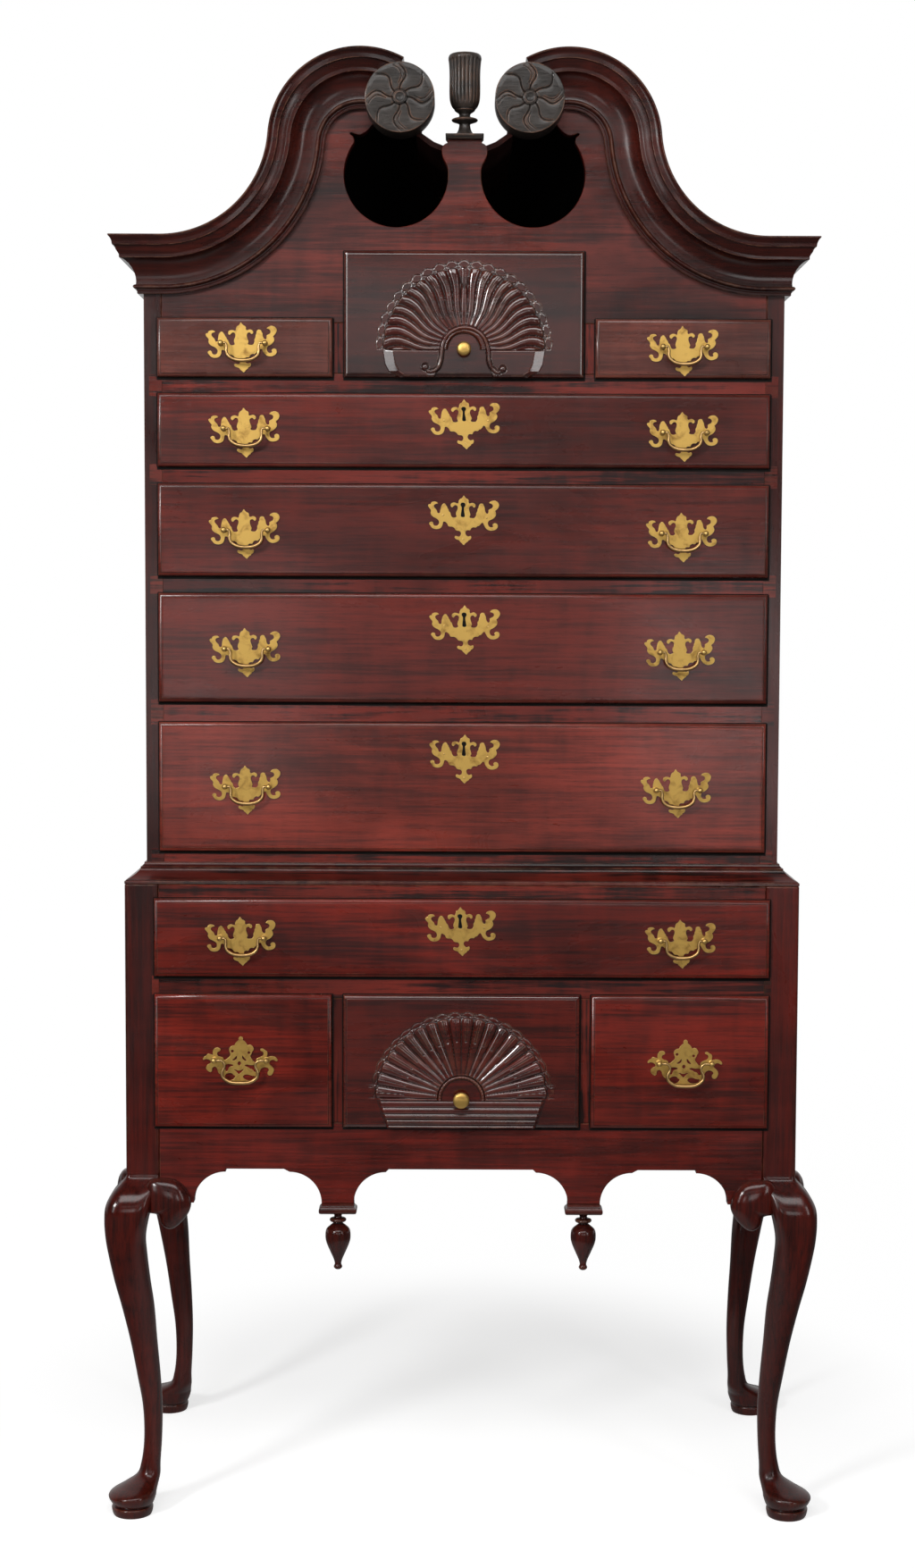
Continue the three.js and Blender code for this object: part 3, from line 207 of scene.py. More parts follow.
PIERCED_OUTLINE = [
    (0.6, 34.9), (3, 33.7), (4, 31.4), (3.2, 29.3), (6.7, 27.3), (9.1, 23.8), (10.5, 21), (11.8, 21.9), (14.3, 22.7),
    (17, 21.1), (19.2, 18.1), (19.9, 14.9), (17.6, 12), (17, 10), (15.7, 7.1), (14.3, 5), (15.9, 1.6), (18.6, -2),
    (21.1, -4), (23, -4.2), (22.8, -1.6), (24.2, 1.3), (27.3, 2.9), (31, 4.2), (33.7, 6.3), (34.7, 9), (34.3, 11),
    (32.6, 12.6), (30.3, 13.1), (29.4, 15.2), (31, 16.7), (33.9, 16.4), (36.4, 14.1), (39.2, 12.9), (40.5, 10.6),
    (40.1, 6.7), (39.5, 4), (41.7, 4.3), (45.4, 5.4), (49.5, 5), (53.2, 3), (55.7, -0.3), (54.9, -2.4), (52.4, -2.1),
    (50.4, -0.5), (47.1, -0.1), (44.6, -1.6), (43.1, -4), (42.8, -6.7), (46.1, -9.4), (48.7, -12.3), (50, -16),
    (48.9, -18.9), (47.5, -22.2), (44.6, -24.2), (41.3, -23.5), (40.1, -20.9), (40.7, -18.3), (42.5, -16.6),
    (42.3, -14.6), (40.5, -12.4), (37.2, -11.2), (33.9, -11.6), (31, -13.5), (29.4, -16.2), (28.3, -19.7),
    (26.5, -25.1), (20.9, -31.1), (11.6, -35.2), (-1.6, -36.4), (-13.9, -35), (-22.8, -30.3), (-27.8, -24.2),
    (-30, -22.5), (-31.9, -21.3), (-33.7, -18.1), (-34.5, -14.3), (-36.6, -11), (-39.3, -10.6), (-41.7, -12.3),
    (-42.8, -14.8), (-42.3, -17.4), (-44.8, -19.4), (-47.7, -18.2), (-50.9, -14.9), (-51.4, -11.6), (-49.4, -8.2),
    (-46.1, -6.3), (-43.8, -5.3), (-44.4, -2.4), (-46.9, -0.2), (-50.2, 0.7), (-53, 0.4), (-55.5, -0.9), (-56, 1.2),
    (-53.9, 4.2), (-50.6, 5.9), (-48.7, 8.7), (-46.1, 8.3), (-42.8, 7.1), (-41, 6.7), (-41.5, 10), (-40.7, 14.1),
    (-38.2, 16.9), (-34.5, 18.2), (-31.2, 17), (-29.6, 14.9), (-30.7, 12.4), (-33.5, 11.6), (-34.9, 9.8), (-34.8, 7),
    (-32.1, 4.2), (-27.9, 3.7), (-25.1, 1.7), (-25.3, -0.7), (-22.2, -0.7), (-18.9, 2.4), (-16, 5), (-14.8, 7.5),
    (-15.9, 10.8), (-17.2, 14.9), (-15.9, 18.5), (-12.3, 21.1), (-9, 21.1), (-7.7, 24), (-4.9, 27.3), (-2.1, 29.2),
    (-3, 31.4), (-1.9, 33.7),
]
PIERCED_WINDOWS = [
    [(-4.9, 6.7), (-5.2, 1.7), (-7.3, -0.7), (-10.6, -1.9), (-13.3, -0.8), (-9, 1.9)],
    [(2.6, 6.7), (2.2, 2.6), (4.2, -0.7), (7.5, -2.6), (9.3, -1.6), (6.7, 1.7), (4.6, 4.2)],
    [(-1.7, -1.6), (1.6, -5.7), (-1.6, -9.8), (-5.2, -6.1)],
    [(-23.2, -8.3), (-18.9, -6.5), (-12.3, -7.1), (-10.3, -9), (-12.6, -10.6), (-16.2, -11), (-17.9, -13.3),
     (-18.9, -17.1), (-22, -18.1), (-23.5, -13.9)],
    [(6, -8.7), (9.3, -7.3), (14.1, -8.5), (20.3, -8.2), (22.8, -10.6), (23.7, -15.6), (24.2, -18.7), (20.7, -18.9),
     (18.2, -14.9), (14.1, -13.9), (11.6, -11.9), (7.5, -10.6)],
    [(-10.6, -16), (-7.3, -14.9), (-4.5, -16.6), (-0.7, -16.6), (2.6, -14.9), (5.4, -15.6), (2.7, -17.6),
     (-0.3, -20.5), (-2.6, -22.5), (-4.9, -20.1), (-7.3, -17.2)],
    [(-22.8, -22.6), (-17.2, -20.3), (-12.3, -20.7), (-10.6, -23.8), (-7.5, -24.2), (-8.3, -27.1), (-11.5, -30.6),
     (-15.6, -31.7), (-20.4, -30.6), (-23.4, -26.7)],
    [(3.2, -26.3), (4.4, -24.2), (7.5, -22.3), (13.3, -23), (17.4, -24.6), (21.9, -24.8), (22.7, -26.5), (19, -30.1),
     (12.4, -31.7), (8.5, -31.1), (5.2, -28.8)],
]
PIERCED_HOLES = [((-12.1, 12.6), 2.2), ((12.6, 10.4), 2.2)]
KEYHOLE = [
    (-5.3, 13.6), (-6.9, 15), (-7.6, 16.8), (-7.1, 18.8), (-5.8, 20), (-3.8, 20.4), (-1.8, 19.9), (-0.4, 18.6),
    (0, 16.6), (-0.6, 14.8), (-2, 13.4), (-1.5, 8), (0.1, 1.4), (-0.2, -0.4), (-1.6, -1.2), (-3, -1.3), (-4.6, -1.1),
    (-5.8, -0.2), (-6.1, 1.4), (-5.6, 7),
]
PLAIN_BAIL = [(0.79, 0), (0.745, -0.1), (0.725, -0.28), (0.735, -0.48), (0.67, -0.72), (0.42, -0.94), (0, -1.02)]
PIERCED_BAIL = [(0.72, 0), (0.62, -0.09), (0.59, -0.27), (0.68, -0.52), (0.66, -0.74), (0.4, -0.97), (0, -1.02)]
HORSESHOE = [
    (-57, -25.8), (-50.5, -32.4), (-39.9, -28.5), (-34.6, -16.5), (-32.5, -0.5), (-29.3, 12.8), (-18.6, 26),
    (0, 31.9), (18.6, 27.4), (30.6, 15.4), (35.9, -0.5), (37.2, -16.5), (42.6, -28.5), (50.5, -33.8), (57.2, -28.5),
]


# Sizes and colours a user may change

def colour_setting(name, text, default):
    return FloatVectorProperty(name=name, description=text, subtype="COLOR", default=default, min=0, max=1)


def share_setting(name, text, default):
    return FloatProperty(name=name, description=text, subtype="FACTOR", default=default, min=0, max=1)


def length_setting(name, text, default, low, high):
    return FloatProperty(name=name, description=text, subtype="DISTANCE", unit="LENGTH", default=default,
                         min=low, max=high)


class HighboyFinish(bpy.types.PropertyGroup):
    red: colour_setting("Red wood", "Middle tone of the drawer fronts and the case", (0.105, 0.0155, 0.009))
    dark: colour_setting("Dark wood", "Dark streaks and old varnish in the wood", (0.024, 0.006, 0.0048))
    worn: colour_setting("Worn wood", "Paler wood where edges have rubbed through", (0.27, 0.125, 0.07))
    carved: colour_setting("Carved wood", "Brown of the rosettes and the finial", (0.034, 0.027, 0.023))
    inner: colour_setting("Inside wood", "Plain wood of the drawer sides and the backs", (0.33, 0.2, 0.105))
    brass: colour_setting("Brass", "Clean brass of the pull plates", (0.62, 0.39, 0.105))
    bail: colour_setting("Bail brass", "Redder brass of the swinging bails", (0.5, 0.28, 0.11))
    patina: share_setting("Patina", "How much of the brass has gone brown", 0.5)
    wear: share_setting("Edge wear", "How far edges are rubbed through", 0.6)


class HighboySizes(bpy.types.PropertyGroup):
    ease: length_setting("Eased edges", "How far sharp edges are broken", 0.0009, 0.0002, 0.003)
    carving_step: length_setting("Carving step", "Spacing of the mesh that the shells are cut in",
                                 0.0008, 0.0005, 0.004)
    carving_depth: length_setting("Carving depth", "Height of the shells on the drawer fronts", 0.005, 0.002, 0.005)
    bail_thickness: length_setting("Bail thickness", "Thickness at the middle of a bail", 0.0056, 0.002, 0.006)
    floor: length_setting("Floor size", "Width of the studio floor", 14, 4, 40)


# Boards, mouldings and turnings

GRAINS = {"x": (0, 1, 2), "y": (1, 0, 2), "z": (2, 0, 1)}


def loop(x, y, z):
    """A ring of places, from rows of numbers or from single ones."""
    return np.column_stack(np.broadcast_arrays(x, y, z))


def laid(line, depth, plane="xz"):
    """A flat line as a ring at a depth, facing the front or the side."""
    return loop(line[:, 0], depth, line[:, 1]) if plane == "xz" else loop(depth, line[:, 0], line[:, 1])


def set_out(name, data):
    """Puts a new thing in the scene."""
    made = bpy.data.objects.new(name, data)
    bpy.context.scene.collection.objects.link(made)
    return made


class Bench:
    """Gathers the boards, mouldings and turnings of one piece."""

    def __init__(self, along="x"):
        self.corners = []
        self.faces = []
        self.finishes = []
        self.figures = []
        self.along = along
        self.count = 0

    def add(self, corners, faces, finish=0, along=None, board=None):
        """Adds one board with its own figure."""
        start = len(self.corners)
        corners = np.asarray(corners, float)
        order = GRAINS[along or self.along]
        self.count += 1
        number = self.count if board is None else board
        shift = np.array([number * 1.37 % 5, number * 0.731 % 3, number * 0.293 % 2])
        self.corners.extend(map(tuple, corners))
        self.figures.extend(map(tuple, corners[:, order] * MM + shift))
        self.faces.extend(tuple(start + i for i in face) for face in faces)
        self.finishes.extend([finish] * len(faces) if isinstance(finish, int) else finish)

    def rings(self, rings, closed=True, caps=True, **board):
        """Joins rings of equal length in order."""
        rings = [np.asarray(ring, float) for ring in rings]
        count = len(rings[0])
        faces = []
        for i in range(len(rings) - 1):
            for j in range(count if closed else count - 1):
                k = (j + 1) % count
                faces.append((i * count + j, i * count + k, (i + 1) * count + k, (i + 1) * count + j))
        if caps:
            faces.append(tuple(range(count - 1, -1, -1)))
            faces.append(tuple((len(rings) - 1) * count + j for j in range(count)))
        corners = np.concatenate(rings)
        self.add(corners, outward(corners, faces), **board)

    def board(self, x0, x1, y0, y1, z0, z1, ease=0.9, **board):
        """A plain board with its edges eased."""
        e = min(ease, (x1 - x0) / 4, (y1 - y0) / 4, (z1 - z0) / 4)
        outline = np.array([(x0 + e, y0), (x1 - e, y0), (x1, y0 + e), (x1, y1 - e), (x1 - e, y1), (x0 + e, y1),
                            (x0, y1 - e), (x0, y0 + e)])
        middle = np.array([(x0 + x1) / 2, (y0 + y1) / 2])
        small = outline - np.sign(outline - middle) * e
        levels = ((small, z0), (outline, z0 + e), (outline, z1 - e), (small, z1))
        self.rings([loop(line[:, 0], line[:, 1], z) for line, z in levels], **board)

    def sawn(self, outline, levels, plane="xz", **board):
        """A board sawn to an outline. Each level is how far the outline draws in and how deep it lies."""
        line = np.asarray(outline, float)
        if area(line) < 0:
            line = line[::-1]
        self.rings([laid(drawn_in(line, draw), depth, plane) for draw, depth in levels], **board)

    def turned(self, profile, place, sides=48, axis="z", flutes=None, caps=True, **board):
        """A turning about a vertical axis, or about one that points forward."""
        angles = np.arange(sides) / sides * 2 * math.pi
        rings = []
        for radius, height in profile:
            reach = np.full(sides, max(radius, 0.01))
            if flutes:
                reach = reach * flutes(angles, height)
            a, b = reach * np.cos(angles), reach * np.sin(angles)
            rings.append((loop(a, b, height) if axis == "z" else loop(a, -height, b)) + place)
        self.rings(rings, caps=caps, **board)

    def bent(self, path, radii, sides=12, **board):
        """A rod along a path, round or thicker in places."""
        path = np.asarray(path, float)
        tangents = np.gradient(path, axis=0)
        tangents /= np.linalg.norm(tangents, axis=1)[:, None]
        side = np.cross(tangents[0], (0.0, 1.0, 0.0))
        if np.linalg.norm(side) < 0.1:
            side = np.cross(tangents[0], (1.0, 0.0, 0.0))
        rings = []
        turn = np.arange(sides) / sides * 2 * math.pi
        for point, tangent, radius in zip(path, tangents, radii):
            side = side - tangent * np.dot(side, tangent)
            side /= np.linalg.norm(side)
            over = np.cross(tangent, side)
            rings.append(point + radius * (np.outer(np.cos(turn), side) + np.outer(np.sin(turn), over)))
        self.rings(rings, **board)

    def grid(self, points, flip=False, **board):
        """A surface given by rows of points."""
        points = np.asarray(points, float)
        rows, columns = points.shape[:2]
        index = np.arange(rows * columns).reshape(rows, columns)
        quads = np.stack([index[:-1, :-1], index[:-1, 1:], index[1:, 1:], index[1:, :-1]], axis=-1).reshape(-1, 4)
        if flip:
            quads = quads[:, ::-1]
        self.add(points.reshape(-1, 3), quads.tolist(), **board)

    def make(self, name, body, finishes, replaces=(), angle=38):
        """Makes the mesh in metres, and rides it on its body."""
        mesh = bpy.data.meshes.new(name)
        mesh.from_pydata((np.asarray(self.corners) * MM).tolist(), [], self.faces)
        for finish in finishes:
            mesh.materials.append(finish)
        mesh.polygons.foreach_set("material_index", self.finishes)
        mesh.polygons.foreach_set("use_smooth", [True] * len(mesh.polygons))
        figure = mesh.attributes.new("figure", "FLOAT_VECTOR", "POINT")
        figure.data.foreach_set("vector", np.asarray(self.figures, np.float32).ravel())
        mark_edges(mesh)
        mesh.set_sharp_from_angle(angle=math.radians(angle))
        mesh.update()
        piece = set_out(name, mesh)
        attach(piece, body)
        if replaces:
            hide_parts(*replaces)
        return piece


def area(line):
    """Signed area of a flat outline."""
    x, z = line[:, 0], line[:, 1]
    return 0.5 * float(np.sum(x * np.roll(z, -1) - np.roll(x, -1) * z))


def drawn_in(line, draw):
    """An outline drawn in by a distance, corner by corner."""
    ahead = np.roll(line, -1, axis=0) - line
    behind = line - np.roll(line, 1, axis=0)
    unit = lambda v: v / np.maximum(np.linalg.norm(v, axis=1), 1e-9)[:, None]
    normal = lambda v: np.column_stack([-v[:, 1], v[:, 0]])
    n0, n1 = normal(unit(behind)), normal(unit(ahead))
    both = unit(n0 + n1)
    stretch = 1 / np.maximum(np.sum(both * n0, axis=1), 0.6)
    return line + both * (draw * stretch)[:, None]


def outward(corners, faces):
    """Turns the faces of a closed form outward where its volume comes out negative."""
    volume = 0.0
    for face in faces:
        first = corners[face[0]]
        for i in range(1, len(face) - 1):
            volume += np.dot(first, np.cross(corners[face[i]], corners[face[i + 1]]))
    return [face[::-1] for face in faces] if volume < 0 else faces


def read(data, key, width=1, kind=float):
    """One value, or a few, of every corner, edge or face."""
    values = np.zeros(len(data) * width, kind)
    data.foreach_get(key, values)
    return values.reshape(-1, width) if width > 1 else values


def mark_edges(mesh):
    """Writes how sharply each face stands out, for the wear, or lies in a crease, for the soiling and the painted
    shade of creases.
    """
    faces = len(mesh.polygons)
    centres, normals = read(mesh.polygons, "center", 3), read(mesh.polygons, "normal", 3)
    face_of = np.repeat(np.arange(faces), read(mesh.polygons, "loop_total", kind=int))
    edge_of = read(mesh.loops, "edge_index", kind=int)
    order = np.argsort(edge_of, kind="stable")
    edges, owners = edge_of[order], face_of[order]
    pair = np.flatnonzero(edges[1:] == edges[:-1])
    a, b = owners[pair], owners[pair + 1]
    ends = read(mesh.edges, "vertices", 2, int)[edges[pair]]
    places = read(mesh.vertices, "co", 3)
    lengths = np.linalg.norm(places[ends[:, 0]] - places[ends[:, 1]], axis=1)
    bend = np.arccos(np.clip(np.sum(normals[a] * normals[b], axis=1), -1, 1))
    sign = np.where(np.sum((centres[b] - centres[a]) * normals[a], axis=1) < 0, 1.0, -1.0)
    turn = bend * sign * lengths
    total = np.bincount(a, turn, faces) + np.bincount(b, turn, faces)
    curve = total / np.maximum(2 * read(mesh.polygons, "area"), 1e-9) * MM
    # The crease mark is used for painted shade in creases, standing in for the shade that falls there, and for
    # soiling.
    for name, value in (("worn", curve), ("crease_soil_and_shade", -curve)):
        mark = mesh.attributes.new(name, "FLOAT", "FACE")
        mark.data.foreach_set("value", np.clip((value - 0.05) / 0.5, 0, 1).astype(np.float32))


def softened(points, times=1, closed=True):
    """Cuts the corners of a line to make it flow."""
    line = np.asarray(points, float)
    for _ in range(times):
        ahead = np.roll(line, -1, axis=0)
        near, far = line * 0.75 + ahead * 0.25, line * 0.25 + ahead * 0.75
        new = np.stack([near, far], axis=1).reshape(-1, line.shape[1])
        line = new if closed else np.concatenate([line[:1], new[:-2], line[-1:]])
    return line


def flowing(points, count):
    """An even run of points on a smooth curve through the given ones."""
    line = np.asarray(points, float)
    span = np.concatenate([[0], np.cumsum(np.linalg.norm(np.diff(line, axis=0), axis=1) ** 0.5)])
    slope = np.gradient(line, span, axis=0)
    out = []
    for t in np.linspace(0, span[-1], count):
        i = min(np.searchsorted(span, t, side="right") - 1, len(span) - 2)
        h = span[i + 1] - span[i]
        s = (t - span[i]) / h
        out.append((2 * s**3 - 3 * s**2 + 1) * line[i] + (s**3 - 2 * s**2 + s) * h * slope[i]
                   + (3 * s**2 - 2 * s**3) * line[i + 1] + (s**3 - s**2) * h * slope[i + 1])
    return np.asarray(out)


def arc(centre, radius, start, end, steps):
    """Points on an arc, with angles in radians."""
    angles = np.linspace(start, end, steps + 1)
    return np.column_stack([centre[0] + radius * np.cos(angles), centre[1] + radius * np.sin(angles)])


def both_halves(left):
    """The whole outline of which the left half is given."""
    left = np.asarray(left, float)
    return np.concatenate([left, (left * (-1, 1))[::-1]])


def sheet(outline, holes, thick, place, bevel=0.2):
    """A flat sheet cut to an outline, with holes and broken edges, facing forward."""
    curve = bpy.data.curves.new("sheet", "CURVE")
    curve.dimensions = "2D"
    curve.fill_mode = "BOTH"
    for line in [outline, *holes]:
        spline = curve.splines.new("POLY")
        spline.points.add(len(line) - 1)
        for point, (x, z) in zip(spline.points, line):
            point.co = (x, z, 0, 1)
        spline.use_cyclic_u = True
    curve.extrude = thick / 2 - bevel
    curve.bevel_depth = bevel
    curve.bevel_resolution = 1
    curve.offset = -bevel
    cutter = set_out("sheet", curve)
    bpy.context.view_layer.update()
    mesh = bpy.data.meshes.new_from_object(cutter.evaluated_get(bpy.context.evaluated_depsgraph_get()))
    corners = np.array([v.co for v in mesh.vertices])
    _, first, same = np.unique(np.round(corners, 3), axis=0, return_index=True, return_inverse=True)
    corners, same = corners[first], same.ravel()
    faces = [tuple(dict.fromkeys(int(same[i]) for i in p.vertices)) for p in mesh.polygons]
    faces = [face for face in faces if len(face) > 2]
    bpy.data.objects.remove(cutter)
    bpy.data.curves.remove(curve)
    bpy.data.meshes.remove(mesh)
    x, y, z = place
    corners = loop(corners[:, 0] + x, y - corners[:, 2] - thick / 2, corners[:, 1] + z)
    return corners, outward(corners, faces)


# Shader groups and finishes

# Near black of painted shade and soiling.
SOILED_SHADE_BLACK = (0.006, 0.004, 0.003, 1)
BROWN_BRASS = (0.17, 0.075, 0.022, 1)
BLACK_BRASS = (0.02, 0.011, 0.005, 1)
BRIGHT_BRASS = (0.8, 0.58, 0.25, 1)


class Wiring:
    """Places and joins the nodes of a finish or a group."""

    def __init__(self, tree):
        self.tree = tree

    def feed(self, sockets, values):
        """Joins a socket, or sets a value, for each key."""
        for key, value in dict(values).items():
            if isinstance(value, bpy.types.NodeSocket):
                self.tree.links.new(value, sockets[key])
            else:
                sockets[key].default_value = value

    def node(self, kind, inputs=(), **settings):
        made = self.tree.nodes.new(kind)
        for name, value in settings.items():
            setattr(made, name, value)
        self.feed(made.inputs, inputs)
        return made

    def maths(self, operation, a, b=0.0, clamp=False):
        return self.node("ShaderNodeMath", {0: a, 1: b}, operation=operation, use_clamp=clamp).outputs[0]

    def plus(self, a, b, clamp=False):
        return self.maths("ADD", a, b, clamp)

    def times(self, a, b, clamp=False):
        return self.maths("MULTIPLY", a, b, clamp)

    def scaled(self, vector, by):
        return self.node("ShaderNodeVectorMath", {0: vector, 1: by}, operation="MULTIPLY").outputs[0]

    def grey(self, level):
        return self.node("ShaderNodeCombineXYZ", {0: level, 1: level, 2: level}).outputs[0]

    def mark(self, name):
        """How strongly a face was marked as worn, or as a crease that takes soiling and painted shade."""
        return self.node("ShaderNodeAttribute", attribute_name=name).outputs["Fac"]

    def noise(self, vector, scale, detail=2.0, rough=0.5, swirl=0.0):
        inputs = {"Vector": vector, "Scale": scale, "Detail": detail, "Roughness": rough, "Distortion": swirl}
        return self.node("ShaderNodeTexNoise", inputs).outputs[0]

    def step(self, value, low, high, start=0.0, end=1.0):
        inputs = {0: value, 1: low, 2: high, 3: start, 4: end}
        return self.node("ShaderNodeMapRange", inputs, interpolation_type="SMOOTHSTEP").outputs[0]

    def mixed(self, share, a, b, blend="MIX"):
        made = self.node("ShaderNodeMix", {0: share, 6: a, 7: b}, data_type="RGBA", blend_type=blend)
        return made.outputs[2]

    def bump(self, height, strength, distance):
        inputs = {"Strength": strength, "Distance": distance, "Height": height}
        return self.node("ShaderNodeBump", inputs).outputs[0]


def tone(colour, by=1.0):
    """A colour as four numbers, made lighter or darker."""
    return tuple(min(c * by, 1.0) for c in colour[:3]) + (1.0,)


def shared_group(name, inputs, outputs):
    """Turns a function that wires a group into one that hands out that group, made only once."""
    def keep(wire):
        def hand_out():
            if name in bpy.data.node_groups:
                return bpy.data.node_groups[name]
            tree = bpy.data.node_groups.new(name, "ShaderNodeTree")
            for label, kind, default in inputs:
                socket = tree.interface.new_socket(name=label, in_out="INPUT", socket_type="NodeSocket" + kind)
                if default is not None:
                    socket.default_value = default
            for label, kind in outputs:
                tree.interface.new_socket(name=label, in_out="OUTPUT", socket_type="NodeSocket" + kind)
            given = tree.nodes.new("NodeGroupInput").outputs
            w = Wiring(tree)
            w.feed(tree.nodes.new("NodeGroupOutput").inputs, wire(w, given, given["Place"]))
            return tree
        return hand_out
    return keep


@shared_group(
    "Wood figure",
    [("Place", "Vector", None), ("Red", "Color", (0.1, 0.02, 0.01, 1)), ("Dark", "Color", (0.03, 0.01, 0.01, 1)),
     ("Bands", "Float", 0.5), ("Patches", "Float", 0.5)],
    [("Color", "Color"), ("Height", "Float")])
def wood_figure(w, given, place):
    """The figure of old close-grained wood: bands, streaks, cross ripple, pores and smoky patches."""
    bands = w.noise(w.scaled(place, (1.7, 26, 26)), 1.0, 3.0, 0.58, 0.9)
    streaks = w.noise(w.scaled(place, (8, 230, 230)), 1.0, 4.0, 0.62, 0.3)
    ripple = w.noise(w.scaled(place, (42, 11, 11)), 1.0, 2.0, 0.5, 0.4)
    pores = w.noise(w.scaled(place, (55, 1250, 1250)), 1.0, 2.0, 0.6)
    patches = w.noise(w.scaled(place, (2.2, 4.4, 4.4)), 1.0, 4.0, 0.6, 0.6)
    lines = w.plus(w.plus(w.times(bands, 0.4), w.times(streaks, 0.46)), w.times(ripple, 0.14))
    share = w.maths("SUBTRACT", w.step(lines, 0.36, 0.62), 0.5)
    share = w.plus(w.times(share, given["Bands"]), 0.62, clamp=True)
    colour = w.mixed(share, given["Dark"], given["Red"])
    light = w.maths("SUBTRACT", w.step(patches, 0.3, 0.7, 0.55, 1.4), 1.0)
    light = w.plus(w.times(light, given["Patches"]), 1.0)
    colour = w.mixed(1.0, colour, w.grey(light), "MULTIPLY")
    fleck = w.step(pores, 0.34, 0.42, 0.6, 1.0)
    high = w.plus(w.times(streaks, 0.5), w.times(fleck, 0.5))
    return {"Color": w.mixed(0.8, colour, w.grey(fleck), "MULTIPLY"), "Height": w.plus(high, w.times(bands, 1.6))}


# The group named Edge wear also paints shade into creases.
@shared_group(
    "Edge wear",
    [("Color", "Color", None), ("Worn", "Color", (0.3, 0.15, 0.08, 1)), ("Place", "Vector", None),
     ("Amount", "Float", 0.5), ("Roughness", "Float", 0.4)],
    [("Color", "Color"), ("Roughness", "Float"), ("Height", "Float")])
def edge_wear_and_crease_shade(w, given, place):
    """Rubbed edges, soiling and painted shade in creases, dull smears and small dents."""
    broken, fine = w.noise(place, 38, 4.0, 0.65), w.noise(place, 210, 3.0, 0.6)
    rubbed = w.times(w.mark("worn"), w.step(w.plus(broken, w.times(fine, 0.4)), 0.56, 0.86))
    rubbed = w.times(rubbed, given["Amount"], clamp=True)
    dents = w.times(w.step(w.noise(place, 420, 2.0), 0.76, 0.8), w.step(broken, 0.5, 0.62))
    marks = w.plus(rubbed, w.times(dents, 0.35), clamp=True)
    # Creases are darkened towards near black: painted shade where shade falls in them, and soiling.
    crease_soil_and_painted_shade = w.times(w.mark("crease_soil_and_shade"), w.step(fine, 0.25, 0.6, 0.5, 0.95))
    smear = w.step(w.noise(w.scaled(place, (3, 9, 9)), 1.0, 5.0, 0.65, 0.8), 0.35, 0.7, -0.09, 0.12)
    return {"Color": w.mixed(crease_soil_and_painted_shade, w.mixed(marks, given["Color"], given["Worn"]), SOILED_SHADE_BLACK),
            "Roughness": w.plus(w.plus(given["Roughness"], smear), w.times(w.plus(marks, crease_soil_and_painted_shade), 0.2)),
            "Height": w.times(w.noise(place, 16, 3.0, 0.5), 2.2)}


@shared_group(
    "Brass skin",
    [("Place", "Vector", None), ("Brass", "Color", (0.6, 0.4, 0.12, 1)), ("Patina", "Float", 0.5),
     ("Roughness", "Float", 0.3)],
    [("Color", "Color"), ("Roughness", "Float"), ("Height", "Float")])
def brass_skin(w, given, place):
    """Old brass: bright where it is touched, brown and dark in the hollows."""
    clouds, spots = w.noise(place, 55, 4.0, 0.6, 0.6), w.noise(place, 420, 3.0, 0.6)
    brown = w.step(w.plus(clouds, w.times(given["Patina"], 0.3)), 0.5, 0.82)
    colour = w.mixed(w.times(brown, 0.75), given["Brass"], BROWN_BRASS)
    dark = w.plus(w.mark("crease_soil_and_shade"), w.times(w.step(spots, 0.66, 0.78), given["Patina"]), clamp=True)
    colour = w.mixed(w.times(dark, 0.85), colour, BLACK_BRASS)
    rough = w.plus(w.times(brown, 0.2), w.times(dark, 0.25))
    return {"Color": w.mixed(w.times(w.mark("worn"), 0.35), colour, BRIGHT_BRASS),
            "Roughness": w.plus(rough, given["Roughness"]), "Height": w.plus(spots, w.times(clouds, 2.0))}


# Finishes: tint of the red, tint of the dark, bands, patches, roughness, wear
WOODS = {
    "Drawer front wood": ((1.0, 0.8, 0.85), 1.0, 0.9, 0.9, 0.33, 0.5),
    # Lighter and greyer than the other fronts: painted light and sheen.
    "Sunned drawer wood": ((1.75, 1.5, 1.5), 1.4, 0.8, 1.0, 0.36, 0.7),
    "Lower drawer wood": ((1.45, 0.8, 0.75), 1.0, 1.0, 1.0, 0.3, 0.5),
    # Greyer than the other fronts: painted haze of reflected light.
    "Top drawer wood": ((1.2, 2.1, 2.5), 1.6, 0.8, 0.7, 0.34, 0.5),
    "Upper shell wood": ((0.55, 0.45, 0.42), 0.5, 0.9, 0.9, 0.24, 0.5),
    "Lower shell wood": ((0.85, 0.55, 0.55), 0.6, 0.9, 1.0, 0.22, 0.5),
    "Case wood": ((1.25, 0.75, 0.8), 0.8, 0.9, 0.8, 0.33, 0.6),
    "Stile wood": ((0.45, 0.35, 0.35), 0.6, 0.9, 0.9, 0.33, 0.6),
    "Rail wood": ((1.1, 0.8, 0.8), 0.6, 1.9, 1.3, 0.33, 0.6),
    "Post wood": ((0.85, 0.5, 0.5), 0.7, 0.9, 0.9, 0.34, 0.5),
    "Leg wood": ((0.65, 0.45, 0.45), 0.6, 0.9, 0.9, 0.24, 0.4),
    "Board of the scrolls": ((0.85, 0.8, 0.85), 0.5, 1.0, 1.7, 0.36, 0.6),
    "Crown wood": ((0.38, 0.38, 0.4), 0.4, 0.9, 1.0, 0.25, 0.5),
}


def place_of(w, carried):
    """Where a point lies in the wood: in its own board, or in the whole piece for a board kept from the model."""
    if carried:
        turned = w.node("ShaderNodeMapping", {"Vector": w.node("ShaderNodeTexCoord").outputs["Object"],
                                              "Rotation": (0, math.pi / 2, 0)})
        return turned.outputs[0]
    return w.node("ShaderNodeAttribute", attribute_name="figure").outputs["Vector"]


def new_material(name):
    """An empty material: itself, its wiring and the sockets of its shader."""
    made = bpy.data.materials.new(name)
    made.use_nodes = True
    return made, Wiring(made.node_tree), made.node_tree.nodes["Principled BSDF"].inputs


